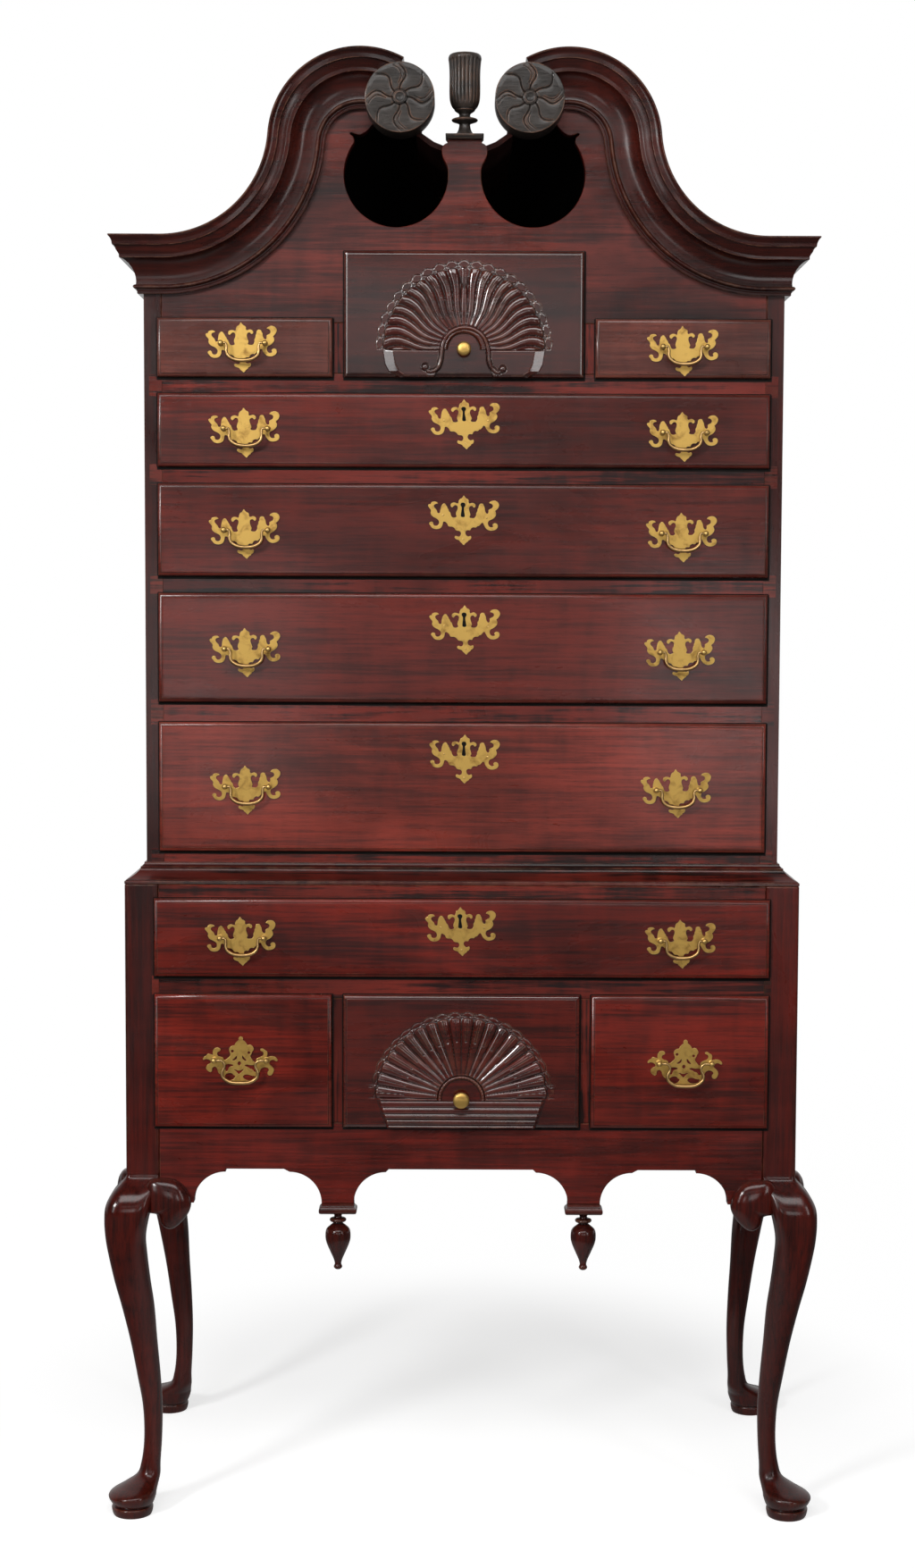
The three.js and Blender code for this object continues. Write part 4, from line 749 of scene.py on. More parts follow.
def finish(name, red, dark, worn, bands, patches, rough, wear, coat=0.22, coat_rough=0.14, carried=False, bumps=0.35):
    """One wood finish, from the shared figure and wear."""
    if name in bpy.data.materials:
        return bpy.data.materials[name]
    made, w, shader = new_material(name)
    place = place_of(w, carried)
    inputs = {"Place": place, "Red": red, "Dark": dark, "Bands": bands, "Patches": patches}
    figure = w.node("ShaderNodeGroup", inputs, node_tree=wood_figure()).outputs
    inputs = {"Color": figure["Color"], "Place": place, "Worn": worn, "Amount": wear, "Roughness": rough}
    skin = w.node("ShaderNodeGroup", inputs, node_tree=edge_wear_and_crease_shade()).outputs
    w.feed(shader, {
        "Base Color": skin["Color"], "Roughness": skin["Roughness"],
        "Normal": w.bump(w.plus(figure["Height"], skin["Height"]), bumps, 0.0006),
        "Coat Weight": coat, "Coat Roughness": coat_rough, "Specular IOR Level": 0.25})
    return made


def colours():
    return bpy.context.scene.highboy_finish


def wood(name):
    """A visible wood of the case, by its name in the list of finishes."""
    tint, dark, bands, patches, rough, wear = WOODS[name]
    red = tuple(c * t for c, t in zip(colours().red, tint)) + (1.0,)
    smooth_kinds = ("Upper", "Lower", "Leg", "Crown")
    shine = {"coat": 1.0, "coat_rough": 0.1} if "shell" in name else {}
    return finish(name, red, tone(colours().dark, dark), tone(colours().worn), bands, patches, rough,
                  wear * colours().wear, bumps=0.1 if name.split()[0] in smooth_kinds else 0.35, **shine)


def carved_wood():
    brown = colours().carved
    return finish("Carved brown wood", tone(brown), tone(brown, 0.4), tone(colours().worn, 0.8), 0.9, 0.8, 0.46,
                  0.9 * colours().wear, bumps=1.3)


def inside_wood():
    pale = colours().inner
    return finish("Drawer linings", tone(pale), tone(pale, 0.45), tone(pale, 1.3), 0.7, 0.7, 0.7, 0.5, coat=0.0)


def roof_wood():
    # Dark red-brown, kept dark partly as painted shade where the roof shows through the eyes.
    return finish("Roof boards", tone(colours().red, 0.45), tone(colours().dark, 0.3), tone(colours().worn, 0.5),
                  0.7, 0.7, 0.75, 0.5, coat=0.0, carried=True)


def painted_shade_and_seam_black():
    """Near black for places where only shade is seen, painted shade: behind a keyhole, inside the eyes and round the
    drawer lips; also the dark seams between the back planks.
    """
    # Both colours are near black, painted shade.
    dark, worn = (0.002, 0.002, 0.002, 1), (0.01, 0.006, 0.004, 1)
    return finish("Hollow", SOILED_SHADE_BLACK, dark, worn, 0.5, 0.5, 0.9, 0.0, coat=0.0)


def metal(name, colour, patina, rough, bumps, rim=0.0):
    """One brass finish, from the shared skin, with painted shade darkening the sides of a round bar where they turn
    away from the view.
    """
    if name in bpy.data.materials:
        return bpy.data.materials[name]
    made, w, shader = new_material(name)
    inputs = {"Place": place_of(w, False), "Brass": tone(colour), "Patina": patina, "Roughness": rough}
    skin = w.node("ShaderNodeGroup", inputs, node_tree=brass_skin()).outputs
    # Painted shade: the colour goes near black where the surface turns away from the view, as far as the rim share.
    painted_side_shade = w.step(w.node("ShaderNodeLayerWeight", {"Blend": 0.5}).outputs["Facing"], 0.12, 0.7)
    w.feed(shader, {
        "Base Color": w.mixed(w.times(painted_side_shade, rim), skin["Color"], (0.02, 0.01, 0.004, 1)),
        "Metallic": 1.0, "Roughness": skin["Roughness"], "Normal": w.bump(skin["Height"], bumps, 0.0002)})
    return made


def plate_brass():
    return metal("Plate brass", colours().brass, colours().patina * 0.25, 0.44, 0.06)


def bail_metal():
    return metal("Bail brass", colours().bail, colours().patina * 0.6, 0.3, 0.1, 0.95)


# Legs and lower case

def ease():
    return bpy.context.scene.highboy_sizes.ease / MM


LEG_SIDES = 64


def leg_rings(side_x, side_y):
    """Rings of a leg from its pad to the top of its post."""
    scale = np.array([KNEE_TOP, KNEE_PROUD, POST, 3.0])
    table = np.array([(h, o, i, min(q, 12)) for h, o, i, q in LEG_SHARES]) * scale
    turn = (np.arange(LEG_SIDES) + 0.5) / LEG_SIDES * 2 * math.pi
    across, along = np.cos(turn), np.sin(turn)
    e = ease()
    post = ((KNEE_TOP + 8, 0), (KNEE_TOP + 10, 0), (LOWER_TOP - e - 1, 0), (LOWER_TOP - e, 0), (LOWER_TOP, e))
    steps = [(height, outer, -inner, max(2.0, square / 3.0)) for height, outer, inner, square in flowing(table, 130)]
    steps += [(height, -draw, draw - POST, 26.0) for height, draw in post]
    rings = []
    for height, outer, inner, square in steps:
        middle, reach = (outer + inner) / 2, (outer - inner) / 2
        size = (np.abs(across) ** square + np.abs(along) ** square) ** (1 / square)
        rings.append(loop(side_x * (HALF_LOWER + middle + reach * across / size),
                          side_y * (BACK + middle + reach * along / size), height))
    return rings


def knee_bracket(bench, side_x, side_y, plane):
    """The scrolled wing beside a knee, on the front or on the side."""
    if plane == "xz":
        reach, depth, side_run, side_deep = HALF_LOWER, BACK, side_x, side_y
    else:
        reach, depth, side_run, side_deep = BACK, HALF_LOWER, side_y, side_x
    wide, tall = BRACKET_SIZE
    shares = np.array(BRACKET_SHARES)
    edge = np.column_stack([side_run * (reach - POST - wide * shares[:, 0]), KNEE_TOP + tall * shares[:, 1]])
    outline = softened(edge, 2)
    middle = np.array([side_run * (reach - POST - wide * 0.43), KNEE_TOP - tall * 0.5])
    dome = [(math.cos(a), 7 + 15.5 * math.sin(a)) for a in np.linspace(0.15, 1.48, 12)]
    bench.rings([laid(middle + (outline - middle) * share, side_deep * (depth + out), plane)
                 for share, out in [(1, 0.3), (1, 7.0)] + dome], along="z")


def shape_legs():
    places = {"front_left": (-1, -1), "front_right": (1, -1), "back_left": (-1, 1), "back_right": (1, 1)}
    for ending, (side_x, side_y) in places.items():
        bench = Bench("z")
        rings = leg_rings(side_x, side_y)
        bench.rings(rings, finish=[0] * (LEG_SIDES * (len(rings) - 6)) + [1] * (LEG_SIDES * 5) + [0, 1])
        knee_bracket(bench, side_x, side_y, "xz")
        knee_bracket(bench, side_x, side_y, "yz")
        bench.make("Leg_" + ending, "case", [wood("Leg wood"), wood("Post wood")], ["leg_" + ending],
                   angle=50)


def side_outline():
    """Edge of a side board of the lower case, with its scalloped foot."""
    sweep = arc((-149.2, APRON_TIP), 48, math.radians(150), math.pi / 2, 12)
    foot = [(-POST_INSIDE, LOWER_TOP), (-POST_INSIDE, APRON_TIP), (sweep[0, 0], APRON_TIP)]
    return both_halves(np.concatenate([foot, sweep, [(-144.7, APRON_FLAT)]]))


def painted_shadow_lines(bench, case, finish):
    """Near-black strips of painted shadow on the rails, close along the lips of the drawers, for the shadow and gap
    under and beside each lip.
    """
    front = CASES[case][0]
    for x0, x1, z0, z1 in opening_places(case):
        a, b, low, high = x0 - LIP - 0.1, x1 + LIP + 0.1, z0 - LIP - 0.1, z1 + LIP + 0.1
        # Below, above, left and right of each lip, in the near black of painted shade.
        for left, right, bottom, top in ((a - 1, b + 2.2, low - 4.4, low), (a - 0.8, b + 1.6, high, high + 1.3),
                                         (a - 1.7, a, low, high), (b, b + 2.4, low, high)):
            bench.board(left, right, front - 0.16, front + 0.1, bottom, top, 0.05, finish=finish)


def shape_lower_case():
    e = ease()
    bench = Bench("x")
    rail_back = LOWER_FRONT + RAIL_DEEP
    for side in (-1, 1):
        levels = [(e, SIDE_INSIDE), (0, SIDE_INSIDE + e), (0, HALF_LOWER - e), (e, HALF_LOWER)]
        bench.sawn(side_outline(), [(draw, side * x) for draw, x in levels], "yz", along="z")
    for z0, z1 in ((LONG_ROW[1], LOWER_TOP), (LOWER_ROW[1], LONG_ROW[0])):
        bench.board(-RAIL_LOWER, RAIL_LOWER, LOWER_FRONT, rail_back, z0, z1, e, finish=1)
    for side in (-1, 1):
        lap = [(side * 452, 794), (side * 462.5, 796), (side * 462.5, 824.5), (side * 452, 827)]
        bench.sawn(lap, [(0.15, LOWER_FRONT - 0.14), (0, LOWER_FRONT + GAP)], finish=1)
    strip_back = LOWER_FRONT + 30
    for x in (-LOWER_SPLIT, LOWER_SPLIT):
        a, b, low, high = x - DIVIDER, x + DIVIDER, LOWER_ROW[0], LOWER_ROW[1]
        bench.board(a, b, LOWER_FRONT, strip_back, low + 0.2, high - 0.2, e, along="z", finish=1)
        bench.board(a, b, strip_back, DUST_END, low, LONG_ROW[0] - DUST_THICK, e, along="y", finish=2)
    bench.board(-RAIL_LOWER, RAIL_LOWER, rail_back, DUST_END, LOWER_TOP - DUST_THICK, LOWER_TOP, e, finish=2)
    for z, front in ((LONG_ROW[0], rail_back), (LOWER_ROW[0], LOWER_FRONT + BOARD_DEEP + GAP)):
        bench.board(-RAIL_LOWER, RAIL_LOWER, front, DUST_END, z - DUST_THICK, z, e, finish=2)
    for side in (-1, 1):
        x0, x1 = sorted((side * RAIL_LOWER, side * SIDE_INSIDE))
        for z in (LOWER_TOP, LONG_ROW[0], LOWER_ROW[0]):
            bench.board(x0, x1, -POST_INSIDE, POST_INSIDE, z - DUST_THICK, z, e, along="y", finish=2)
    painted_shadow_lines(bench, "lower", 3)
    finishes = [wood("Case wood"), wood("Rail wood"), inside_wood(), painted_shade_and_seam_black()]
    bench.make("Lower_case_boards", "case", finishes, ["lower_carcase"])
    back = Bench("x")
    for z0, z1 in ((APRON_FLAT, 675), (675, 818), (818, LOWER_TOP - GAP)):
        back.board(-RAIL_LOWER, RAIL_LOWER, BACK_FACE, BACK, z0, z1, 1.6)
    back.make("Lower_back_boards", "case", [inside_wood()], ["lower_back"])


def apron_outline():
    """Edge of the apron, from scallop to scallop."""
    def quarter(x, sign):
        a = np.linspace(0, math.pi / 2, 18)
        return np.column_stack([x + sign * 48 * (1 - np.cos(a)), APRON_TIP + 47.5 * np.sin(a)])

    return both_halves(np.concatenate([
        [(-RAIL_LOWER, LOWER_ROW[0] - GAP), (-RAIL_LOWER, APRON_TIP)], quarter(-401.3, 1),
        [(-353.3, APRON_FLAT), (-265.8, APRON_FLAT)], quarter(-209.2, -1)[::-1], quarter(-160.8, 1),
        [(-108.3, APRON_FLAT)]]))


def front_board(outline, front, name, finish, node):
    """A board sawn to an outline, in the face of a case."""
    e = ease()
    bench = Bench("x")
    bench.sawn(outline, [(e, front), (0, front + e), (0, front + BOARD_DEEP - e), (e, front + BOARD_DEEP)])
    bench.make(name, "case", [wood(finish)], [node])


def shape_apron():
    front_board(apron_outline(), LOWER_FRONT, "Apron", "Case wood", "apron")


def square_block(bench, x, y, steps):
    """A moulded block, from its half widths, half depths and heights."""
    square = np.array([(-1, -1), (1, -1), (1, 1), (-1, 1)])
    rings = [loop(x + square[:, 0] * half, y + square[:, 1] * deep, z) for half, deep, z in steps]
    bench.rings(rings, along="x")


def shape_drops():
    steps = [(25.5, 12.4, 463.7), (27.4, 14, 464.6), (28.4, 15, 467), (28.4, 15, 470), (27, 13.8, 472.6),
             (25.2, 12, 474), (24.4, 11.3, 476), (24.4, 11.3, 479.7)]
    line = flowing([(r * 19, z * 87.4) for r, z in DROP_PROFILE], 90)
    x, y, z = DROP_PLACE
    for ending, side in (("left", -1), ("right", 1)):
        bench = Bench("z")
        square_block(bench, side * x, y, steps)
        bench.turned(line, (side * x, y, z), 40)
        bench.make("Drop_" + ending, "case", [wood("Leg wood")], ["drop_" + ending], angle=50)


def moulding_rings(profile, side, base):
    """Two rings of the run of a moulding along one side: at the back, and at the mitred front corner."""
    p, h = np.asarray(profile, float).T
    x = -side * (HALF_UPPER + GAP + p)
    return [loop(x, BACK, base + h), loop(x, UPPER_FRONT - GAP - p, base + h)]


def shape_waist():
    profile = [(p * 29.5, h * 31) for p, h in WAIST_SHARES]
    left = moulding_rings(profile, 1, WAIST_BASE)
    right = moulding_rings(profile, -1, WAIST_BASE)[::-1]
    bench = Bench("x")
    for run in (left, [left[1], right[0]], right):
        bench.rings(run, along="x" if run[0][0][1] < 0 else "y")
    bench.make("Waist_moulding", "case", [wood("Rail wood")], ["waist_moulding"])


# Upper case, bonnet and ornaments

def shape_upper_case():
    e = ease()
    bench = Bench("x")
    for side in (-1, 1):
        x0, x1 = sorted((side * INNER_UPPER, side * HALF_UPPER))
        bench.board(x0, x1, UPPER_FRONT, BACK, WAIST_BASE, CASE_TOP, e, along="z")
    openings = list(LONG_OPENINGS.values())
    bottoms = [WAIST_BASE] + [high for _, high in openings]
    tops = [low for low, _ in openings] + [TOP_ROW[0]]
    rail_back = UPPER_FRONT + RAIL_DEEP
    for z0, z1 in zip(bottoms, tops):
        bench.board(-RAIL_UPPER, RAIL_UPPER, UPPER_FRONT, rail_back, z0 + 0.1, z1, e, finish=1)
        bench.board(-RAIL_UPPER, RAIL_UPPER, rail_back, DUST_END, z1 - DUST_THICK, z1, e, finish=2)
        for side in (-1, 1):
            near, far = side * 446.5, side * 465.4
            lap = [(near, z0 + 0.5), (far, z0 + 1.8), (far, z1 - 2.6), (near, z1 - 1)]
            bench.sawn(lap, [(0.15, UPPER_FRONT - 0.12), (0, UPPER_FRONT + 4)], finish=1)
    board_back = UPPER_FRONT + BOARD_DEEP + GAP
    for x in (-UPPER_SPLIT, UPPER_SPLIT):
        a, b = x - DIVIDER, x + DIVIDER
        bench.board(a, b, UPPER_FRONT, DIVIDER_BACK, TOP_ROW[0], TOP_ROW[1] - GAP, e, along="z", finish=1)
        bench.board(a, b, board_back, DUST_END, TOP_ROW[0], CASE_TOP, e, along="y", finish=2)
    # The top board of the upper case takes the near black of painted shade, so the eyes stay dark inside.
    bench.board(-RAIL_UPPER, RAIL_UPPER, board_back, DUST_END, CASE_TOP - DUST_THICK, CASE_TOP, e, finish=3)
    painted_shadow_lines(bench, "upper", 3)
    finishes = [wood("Stile wood"), wood("Rail wood"), inside_wood(), painted_shade_and_seam_black()]
    bench.make("Upper_case_boards", "case", finishes, ["upper_carcase"])


def scroll(height, hollow_steps=36, crest_steps=44):
    """The hollow and the crest of a scroll, at a height above the crown's lower edge."""
    crest = arc(CREST_CENTRE, CREST_RADIUS + height, math.pi - SCROLL_TILT, CREST_END, crest_steps)
    across = (crest[0, 0] - HOLLOW_CENTRE[0]) / math.cos(SCROLL_TILT)
    hollow = arc((0, 0), 1, -math.pi / 2, -SCROLL_TILT, hollow_steps)
    hollow = hollow * (across, HOLLOW_RADIUS - height) + HOLLOW_CENTRE
    return np.concatenate([hollow, crest[1:]])


def near_eye(shares):
    return softened(np.array(EYE) + np.array(shares) * EYE_RADIUS, 1, closed=False)


def tympanum_outline():
    """Edge of the board behind the scrolls, round both eyes and the plinth."""
    lobe, neck = near_eye(LOBE_SHARES), near_eye(NECK_SHARES)
    start = math.atan2(*(lobe[-1] - EYE)[::-1])
    end = math.atan2(*(neck[0] - EYE)[::-1]) + 2 * math.pi
    eye = arc(EYE, EYE_RADIUS, start, end, 90)[1:-1]
    half = np.concatenate([
        [(DIVIDER - UPPER_SPLIT, SHELL_TOP), (DIVIDER - UPPER_SPLIT, TOP_ROW[1]), (-BACK_UPPER, TOP_ROW[1]),
         (-BACK_UPPER, CASE_TOP + GAP), (-HALF_UPPER, CASE_TOP + GAP), (-HALF_UPPER, CROWN_BASE + SCROLL_BOARD)],
        scroll(SCROLL_BOARD), [ROSETTE], lobe, eye, neck, [(-NECK_HALF, PLINTH_TOP)]])
    return both_halves(half)


def shape_tympanum():
    front_board(tympanum_outline(), UPPER_FRONT, "Scroll_board", "Board of the scrolls", "tympanum")


def shape_crowns():
    profile = np.array(CROWN_PROFILE, float)
    lines = np.array([scroll(h) for h in profile[:, 1]])
    for ending, side in (("left", 1), ("right", -1)):
        bench = Bench("x")
        straight = moulding_rings(profile, side, CROWN_BASE)
        bench.rings(straight, along="y")
        bent = [loop(line[:, 0] * side, UPPER_FRONT - GAP - profile[:, 0], line[:, 1])
                for line in lines.transpose(1, 0, 2)]
        bench.rings([straight[1]] + bent, along="x")
        bench.make("Crown_" + ending, "case", [wood("Crown wood")], ["crown_" + ending], angle=30)


def rosette_rise(r, angles, lobes=8):
    """How far the carved whirl of lobes stands forward at one radius."""
    if r <= 10.2:
        button = 1.4 + 1.3 * math.exp(-((r - 7.2) / 1.9) ** 2)
        return np.full(len(angles), button - 0.9 * (r < 3.6) * (1 - r / 3.6))
    t = np.clip((r - 10) / 40, 0, 1)
    whirl = math.radians(9) * math.cos(2 * math.pi * t * 0.92) + math.radians(5) * t
    turn = (angles - whirl) * lobes / (2 * math.pi) + 0.2
    phase = turn % 1
    away = np.minimum(phase, 1 - phase) * 2 * math.pi / lobes * r
    cut = np.clip(1 - away / 1.5, 0, 1) * (0.2 + 0.8 * min(1, (49 - r) / 5))
    second = np.abs(phase - 0.24) * 2 * math.pi / lobes * r
    every_other = np.floor(turn) % 2 == 0
    cut = np.maximum(cut, np.clip(1 - second / 1.1, 0, 1) * every_other * (0.25 < t < 0.93) * 0.7)
    rise = 0.9 * np.sin(np.pi * phase) ** 0.6 * min(1, (50 - r) / 6) - 1.5 * cut
    return rise - 1.2 * max(0, 1 - (r - 10.2) / 3)


def shape_rosettes():
    """Drums with a carved whirl of curved lobes round a button."""
    angles = np.arange(240) / 240 * 2 * math.pi
    button = [0.4, 1.4, 2.4, 3.4, 4.4, 5.2, 6, 6.8, 7.6, 8.4, 9.2, 9.8, 10.4]
    radii = np.concatenate([button, np.linspace(11, 49.2, 50)])[::-1]
    steps = [(ROSETTE_RADIUS, UPPER_FRONT - GAP), (ROSETTE_RADIUS, -269.2), (50.2, -270.1)]
    steps += [(r, -270.4 - rosette_rise(r, angles)) for r in radii]
    for ending, side in (("left", 1), ("right", -1)):
        bench = Bench("x")
        bench.rings([loop(side * ROSETTE[0] + r * np.cos(angles), y, ROSETTE[1] + r * np.sin(angles))
                     for r, y in steps])
        bench.make("Rosette_" + ending, "case", [carved_wood()], ["rosette_" + ending], angle=45)


def finial_flutes(angles, height):
    """Draws the flutes of the finial's cup in, between its neck and its rim."""
    t = (height - FINIAL_BASE) / FINIAL_HEIGHT
    depth = 0.075 * np.clip((t - 0.36) / 0.08, 0, 1) * np.clip((0.94 - t) / 0.03, 0, 1)
    return 1 - depth * (1 - np.abs(np.cos(angles * 11)) ** 0.6)


def shape_finial():
    bench = Bench("z")
    square_block(bench, 0, FINIAL_Y, [(24.6, 18.4, 2059.5), (25.4, 19.2, 2060.2), (26.4, 20.3, 2062),
                                      (27.4, 21.3, 2063.4), (28, 22, 2064), (28, 22, 2065.9), (27.4, 21.4, 2066.5)])
    line = np.array([(r * 24.4, FINIAL_BASE + z * FINIAL_HEIGHT) for r, z in FINIAL_PROFILE])
    fine = np.concatenate([flowing(line[:18], 70), flowing(line[17:], 70)[1:]])
    bench.turned(fine, (0, FINIAL_Y, 0), 176, flutes=finial_flutes)
    bench.make("Finial", "case", [carved_wood()], ["finial"], angle=50)


def finish_roof():
    """Gives the roof its own dark wood, dark partly as painted shade where it shows through the eyes, and sets planks
    at the back of the upper case, with a near-black sheet of painted shade inside them behind the eyes.
    """
    roof = frame["nodes"]["bonnet"]
    roof.data.materials.clear()
    roof.data.materials.append(roof_wood())
    dip = np.array(ROSETTE) + np.array(DIP_SHARES) * ROSETTE_RADIUS
    edge = np.concatenate([[(-BACK_UPPER, CROWN_BASE + SCROLL_BOARD)], scroll(SCROLL_BOARD, 24, 24), dip])
    bench = Bench("z")
    outline = both_halves(np.concatenate([[(-BACK_UPPER, WAIST_BASE)], edge]))
    bench.sawn(outline, [(0, BACK_FACE), (0, BACK - 1), (1, BACK)])
    for x in (-223, 0, 223):
        bench.board(x - 0.5, x + 0.5, BACK - 0.2, BACK + 0.05, WAIST_BASE + 1, 1930, 0.05, finish=1)
    # A near-black sheet of painted shade inside the back, seen through the eyes.
    shade = both_halves(np.concatenate([[(-440, 1905)], edge * (0.985, 1) - (0, 9)]))
    bench.sawn(shade, [(0, BACK_FACE - 0.3), (0, BACK_FACE - 0.05)], finish=1)
    bench.make("Upper_back_boards", "case", [inside_wood(), painted_shade_and_seam_black()], ["upper_back"])


# Drawers

# Edge of a drawer front: distance from its side, and how far it stands forward
LIP_EDGE = [(0, 0.3), (0, 3.0), (0.25, 4.6), (0.9, 6.3), (1.9, 7.5), (5.0, 8.65), (5.6, 8.75), (5.75, 9.95),
            (6.2, 10.0), (9.0, 10.0)]


def lip_height(d):
    """How far a drawer's front stands forward, by the distance from its edge."""
    edge = np.array(LIP_EDGE)
    return np.interp(d, edge[1:, 0] + np.arange(len(edge) - 1) * 1e-6, edge[1:, 1])


def drawer_box(bench, x0, x1, z0, z1, front, depth):
    """Sides, bottom and back of a drawer, dovetailed to its front."""
    a, b, top, low = x0 + 1.2, x1 - 1.2, z1 - 3, z0 + 0.3
    bench.board(a, b, front - 0.5, front + 20, low, top, 0.5)
    for inner, outer in ((a + 12, a), (b - 12, b)):
        s0, s1 = sorted((inner, outer))
        bench.board(s0, s1, front + 20, front + depth, low, top, 0.8, along="y", finish=1)
        count = max(2, round((top - low) / 38))
        pitch = (top - low) / count
        side = 1 if outer > inner else -1
        for i in range(count):
            z = low + (i + 0.5) * pitch
            tail = [(front + 20.4, z - 0.2 * pitch), (front + 5.5, z - 0.36 * pitch),
                    (front + 5.5, z + 0.36 * pitch), (front + 20.4, z + 0.2 * pitch)]
            bench.sawn(tail, [(0.1, outer + side * 0.14), (0, outer - side * 2)], "yz", along="y", finish=1)
    bench.board(a + 12, b - 12, front + depth - 12, front + depth, low + 8, top, 0.8, finish=1)
    bench.board(a + 12, b - 12, front + 20, front + depth, low, low + 8, 0.4, finish=1)


def plain_front(bench, x0, x1, z0, z1, front):
    """A flat front with its thumb moulding and mitred corners."""
    square = np.array([(x0 - LIP, z0 - LIP), (x1 + LIP, z0 - LIP), (x1 + LIP, z1 + LIP), (x0 - LIP, z1 + LIP)])
    inward = np.array([(1, 1), (-1, 1), (-1, -1), (1, -1)])
    bench.rings([laid(square + inward * d, front - out) for d, out in LIP_EDGE])


# Openings of the plain drawers: left, right, bottom, top and case
PLAIN_DRAWERS = {
    "lower_long": (-INNER_LOWER, INNER_LOWER, *LONG_ROW, "lower"),
    "lower_left": (-INNER_LOWER, -LOWER_SPLIT - DIVIDER, *LOWER_ROW, "lower"),
    "lower_right": (LOWER_SPLIT + DIVIDER, INNER_LOWER, *LOWER_ROW, "lower"),
    "top_left": (-INNER_UPPER, -UPPER_SPLIT - DIVIDER, *TOP_ROW, "upper"),
    "top_right": (UPPER_SPLIT + DIVIDER, INNER_UPPER, *TOP_ROW, "upper"),
}
PLAIN_DRAWERS.update({name: (-INNER_UPPER, INNER_UPPER, *row, "upper") for name, row in LONG_OPENINGS.items()})


def front_wood(name):
    """The three drawers of the top row are browner than the rest, with a grey painted haze of reflected light; the
    lowest long drawer of the upper case is lighter and greyer, with painted light and sheen; and the carved fronts are
    darker and glossier.
    """
    if name in SHELL_DRAWERS:
        return wood("Upper shell wood" if name == "top_shell" else "Lower shell wood")
    kinds = {"top": "Top drawer wood", "lower": "Lower drawer wood"}
    return wood("Sunned drawer wood" if name == "upper_fourth" else kinds.get(name.split("_")[0], "Drawer front wood"))


def opening_places(case):
    """Left, right, bottom and top of the drawer openings in one case."""
    return [box[:4] for box in (*PLAIN_DRAWERS.values(), *SHELL_DRAWERS.values()) if box[4] == case]


def shape_plain_drawers():
    for name, (x0, x1, z0, z1, case) in PLAIN_DRAWERS.items():
        front, depth = CASES[case]
        bench = Bench("x")
        bench.count = len(name) + int(z0) % 17
        plain_front(bench, x0, x1, z0, z1, front)
        drawer_box(bench, x0, x1, z0, z1, front, depth)
        bench.make("Drawer_" + name, "drawer_" + name, [front_wood(name), inside_wood()],
                   ["drawer_" + name])


def line_distance(points, x, z):
    """Distance from each place to a line of points."""
    best = np.full(x.shape, 1e9)
    for (x0, z0), (x1, z1) in zip(points[:-1], points[1:]):
        dx, dz = x1 - x0, z1 - z0
        t = np.clip(((x - x0) * dx + (z - z0) * dz) / (dx * dx + dz * dz), 0, 1)
        best = np.minimum(best, np.hypot(x - x0 - t * dx, z - z0 - t * dz))
    return best


def smooth(value, low, high):
    t = np.clip((value - low) / (high - low), 0, 1)
    return t * t * (3 - 2 * t)


UPPER_LOBES = 21
LOWER_LOBES = 20
# Middle of the waved lines: from the hub of the upper shell, and from the edge of the lower one
UPPER_LINES = 124.5
LOWER_LINES = 4.5


def round_hub(x, z):
    """Distance from the hub of a shell, and the angle above its foot."""
    return np.hypot(x, z), np.arctan2(z, np.abs(x))


def reed_bend(r, a):
    """How far the reeds of the upper shell turn aside on their way out."""
    t = np.clip((r - 32) / 87, 0, 1.1)
    return np.radians(3.4) * np.sin(2 * math.pi * t * 0.97 + 0.25) * np.cos(np.clip(a, 0, None)) ** 0.5


def lower_edge(a):
    """Reach of the lower shell, wider towards its foot."""
    return 122 + 6 * np.cos(np.clip(a, 0, None)) ** 2


def waved_border(height, z, r, a, lobes, middle, start, reach, line, spread, dot):
    """Cuts the two crossing waved lines round a shell, and the dots between them."""
    wave = reach * np.sin(a * lobes)
    for side in (-1, 1):
        groove = np.abs(r - middle - side * wave)
        height = np.where((z > 0) & (groove < line) & (r > start), -0.8 * (1 - groove), height)
    lens = ((a / math.pi * lobes + 0.5) % 1 - 0.5) * math.pi / lobes * r
    for side in (-1, 1):
        far = np.hypot(r - middle - side * spread, lens)
        height = np.where((z > 0) & (far < dot), -0.9, height)
    return height


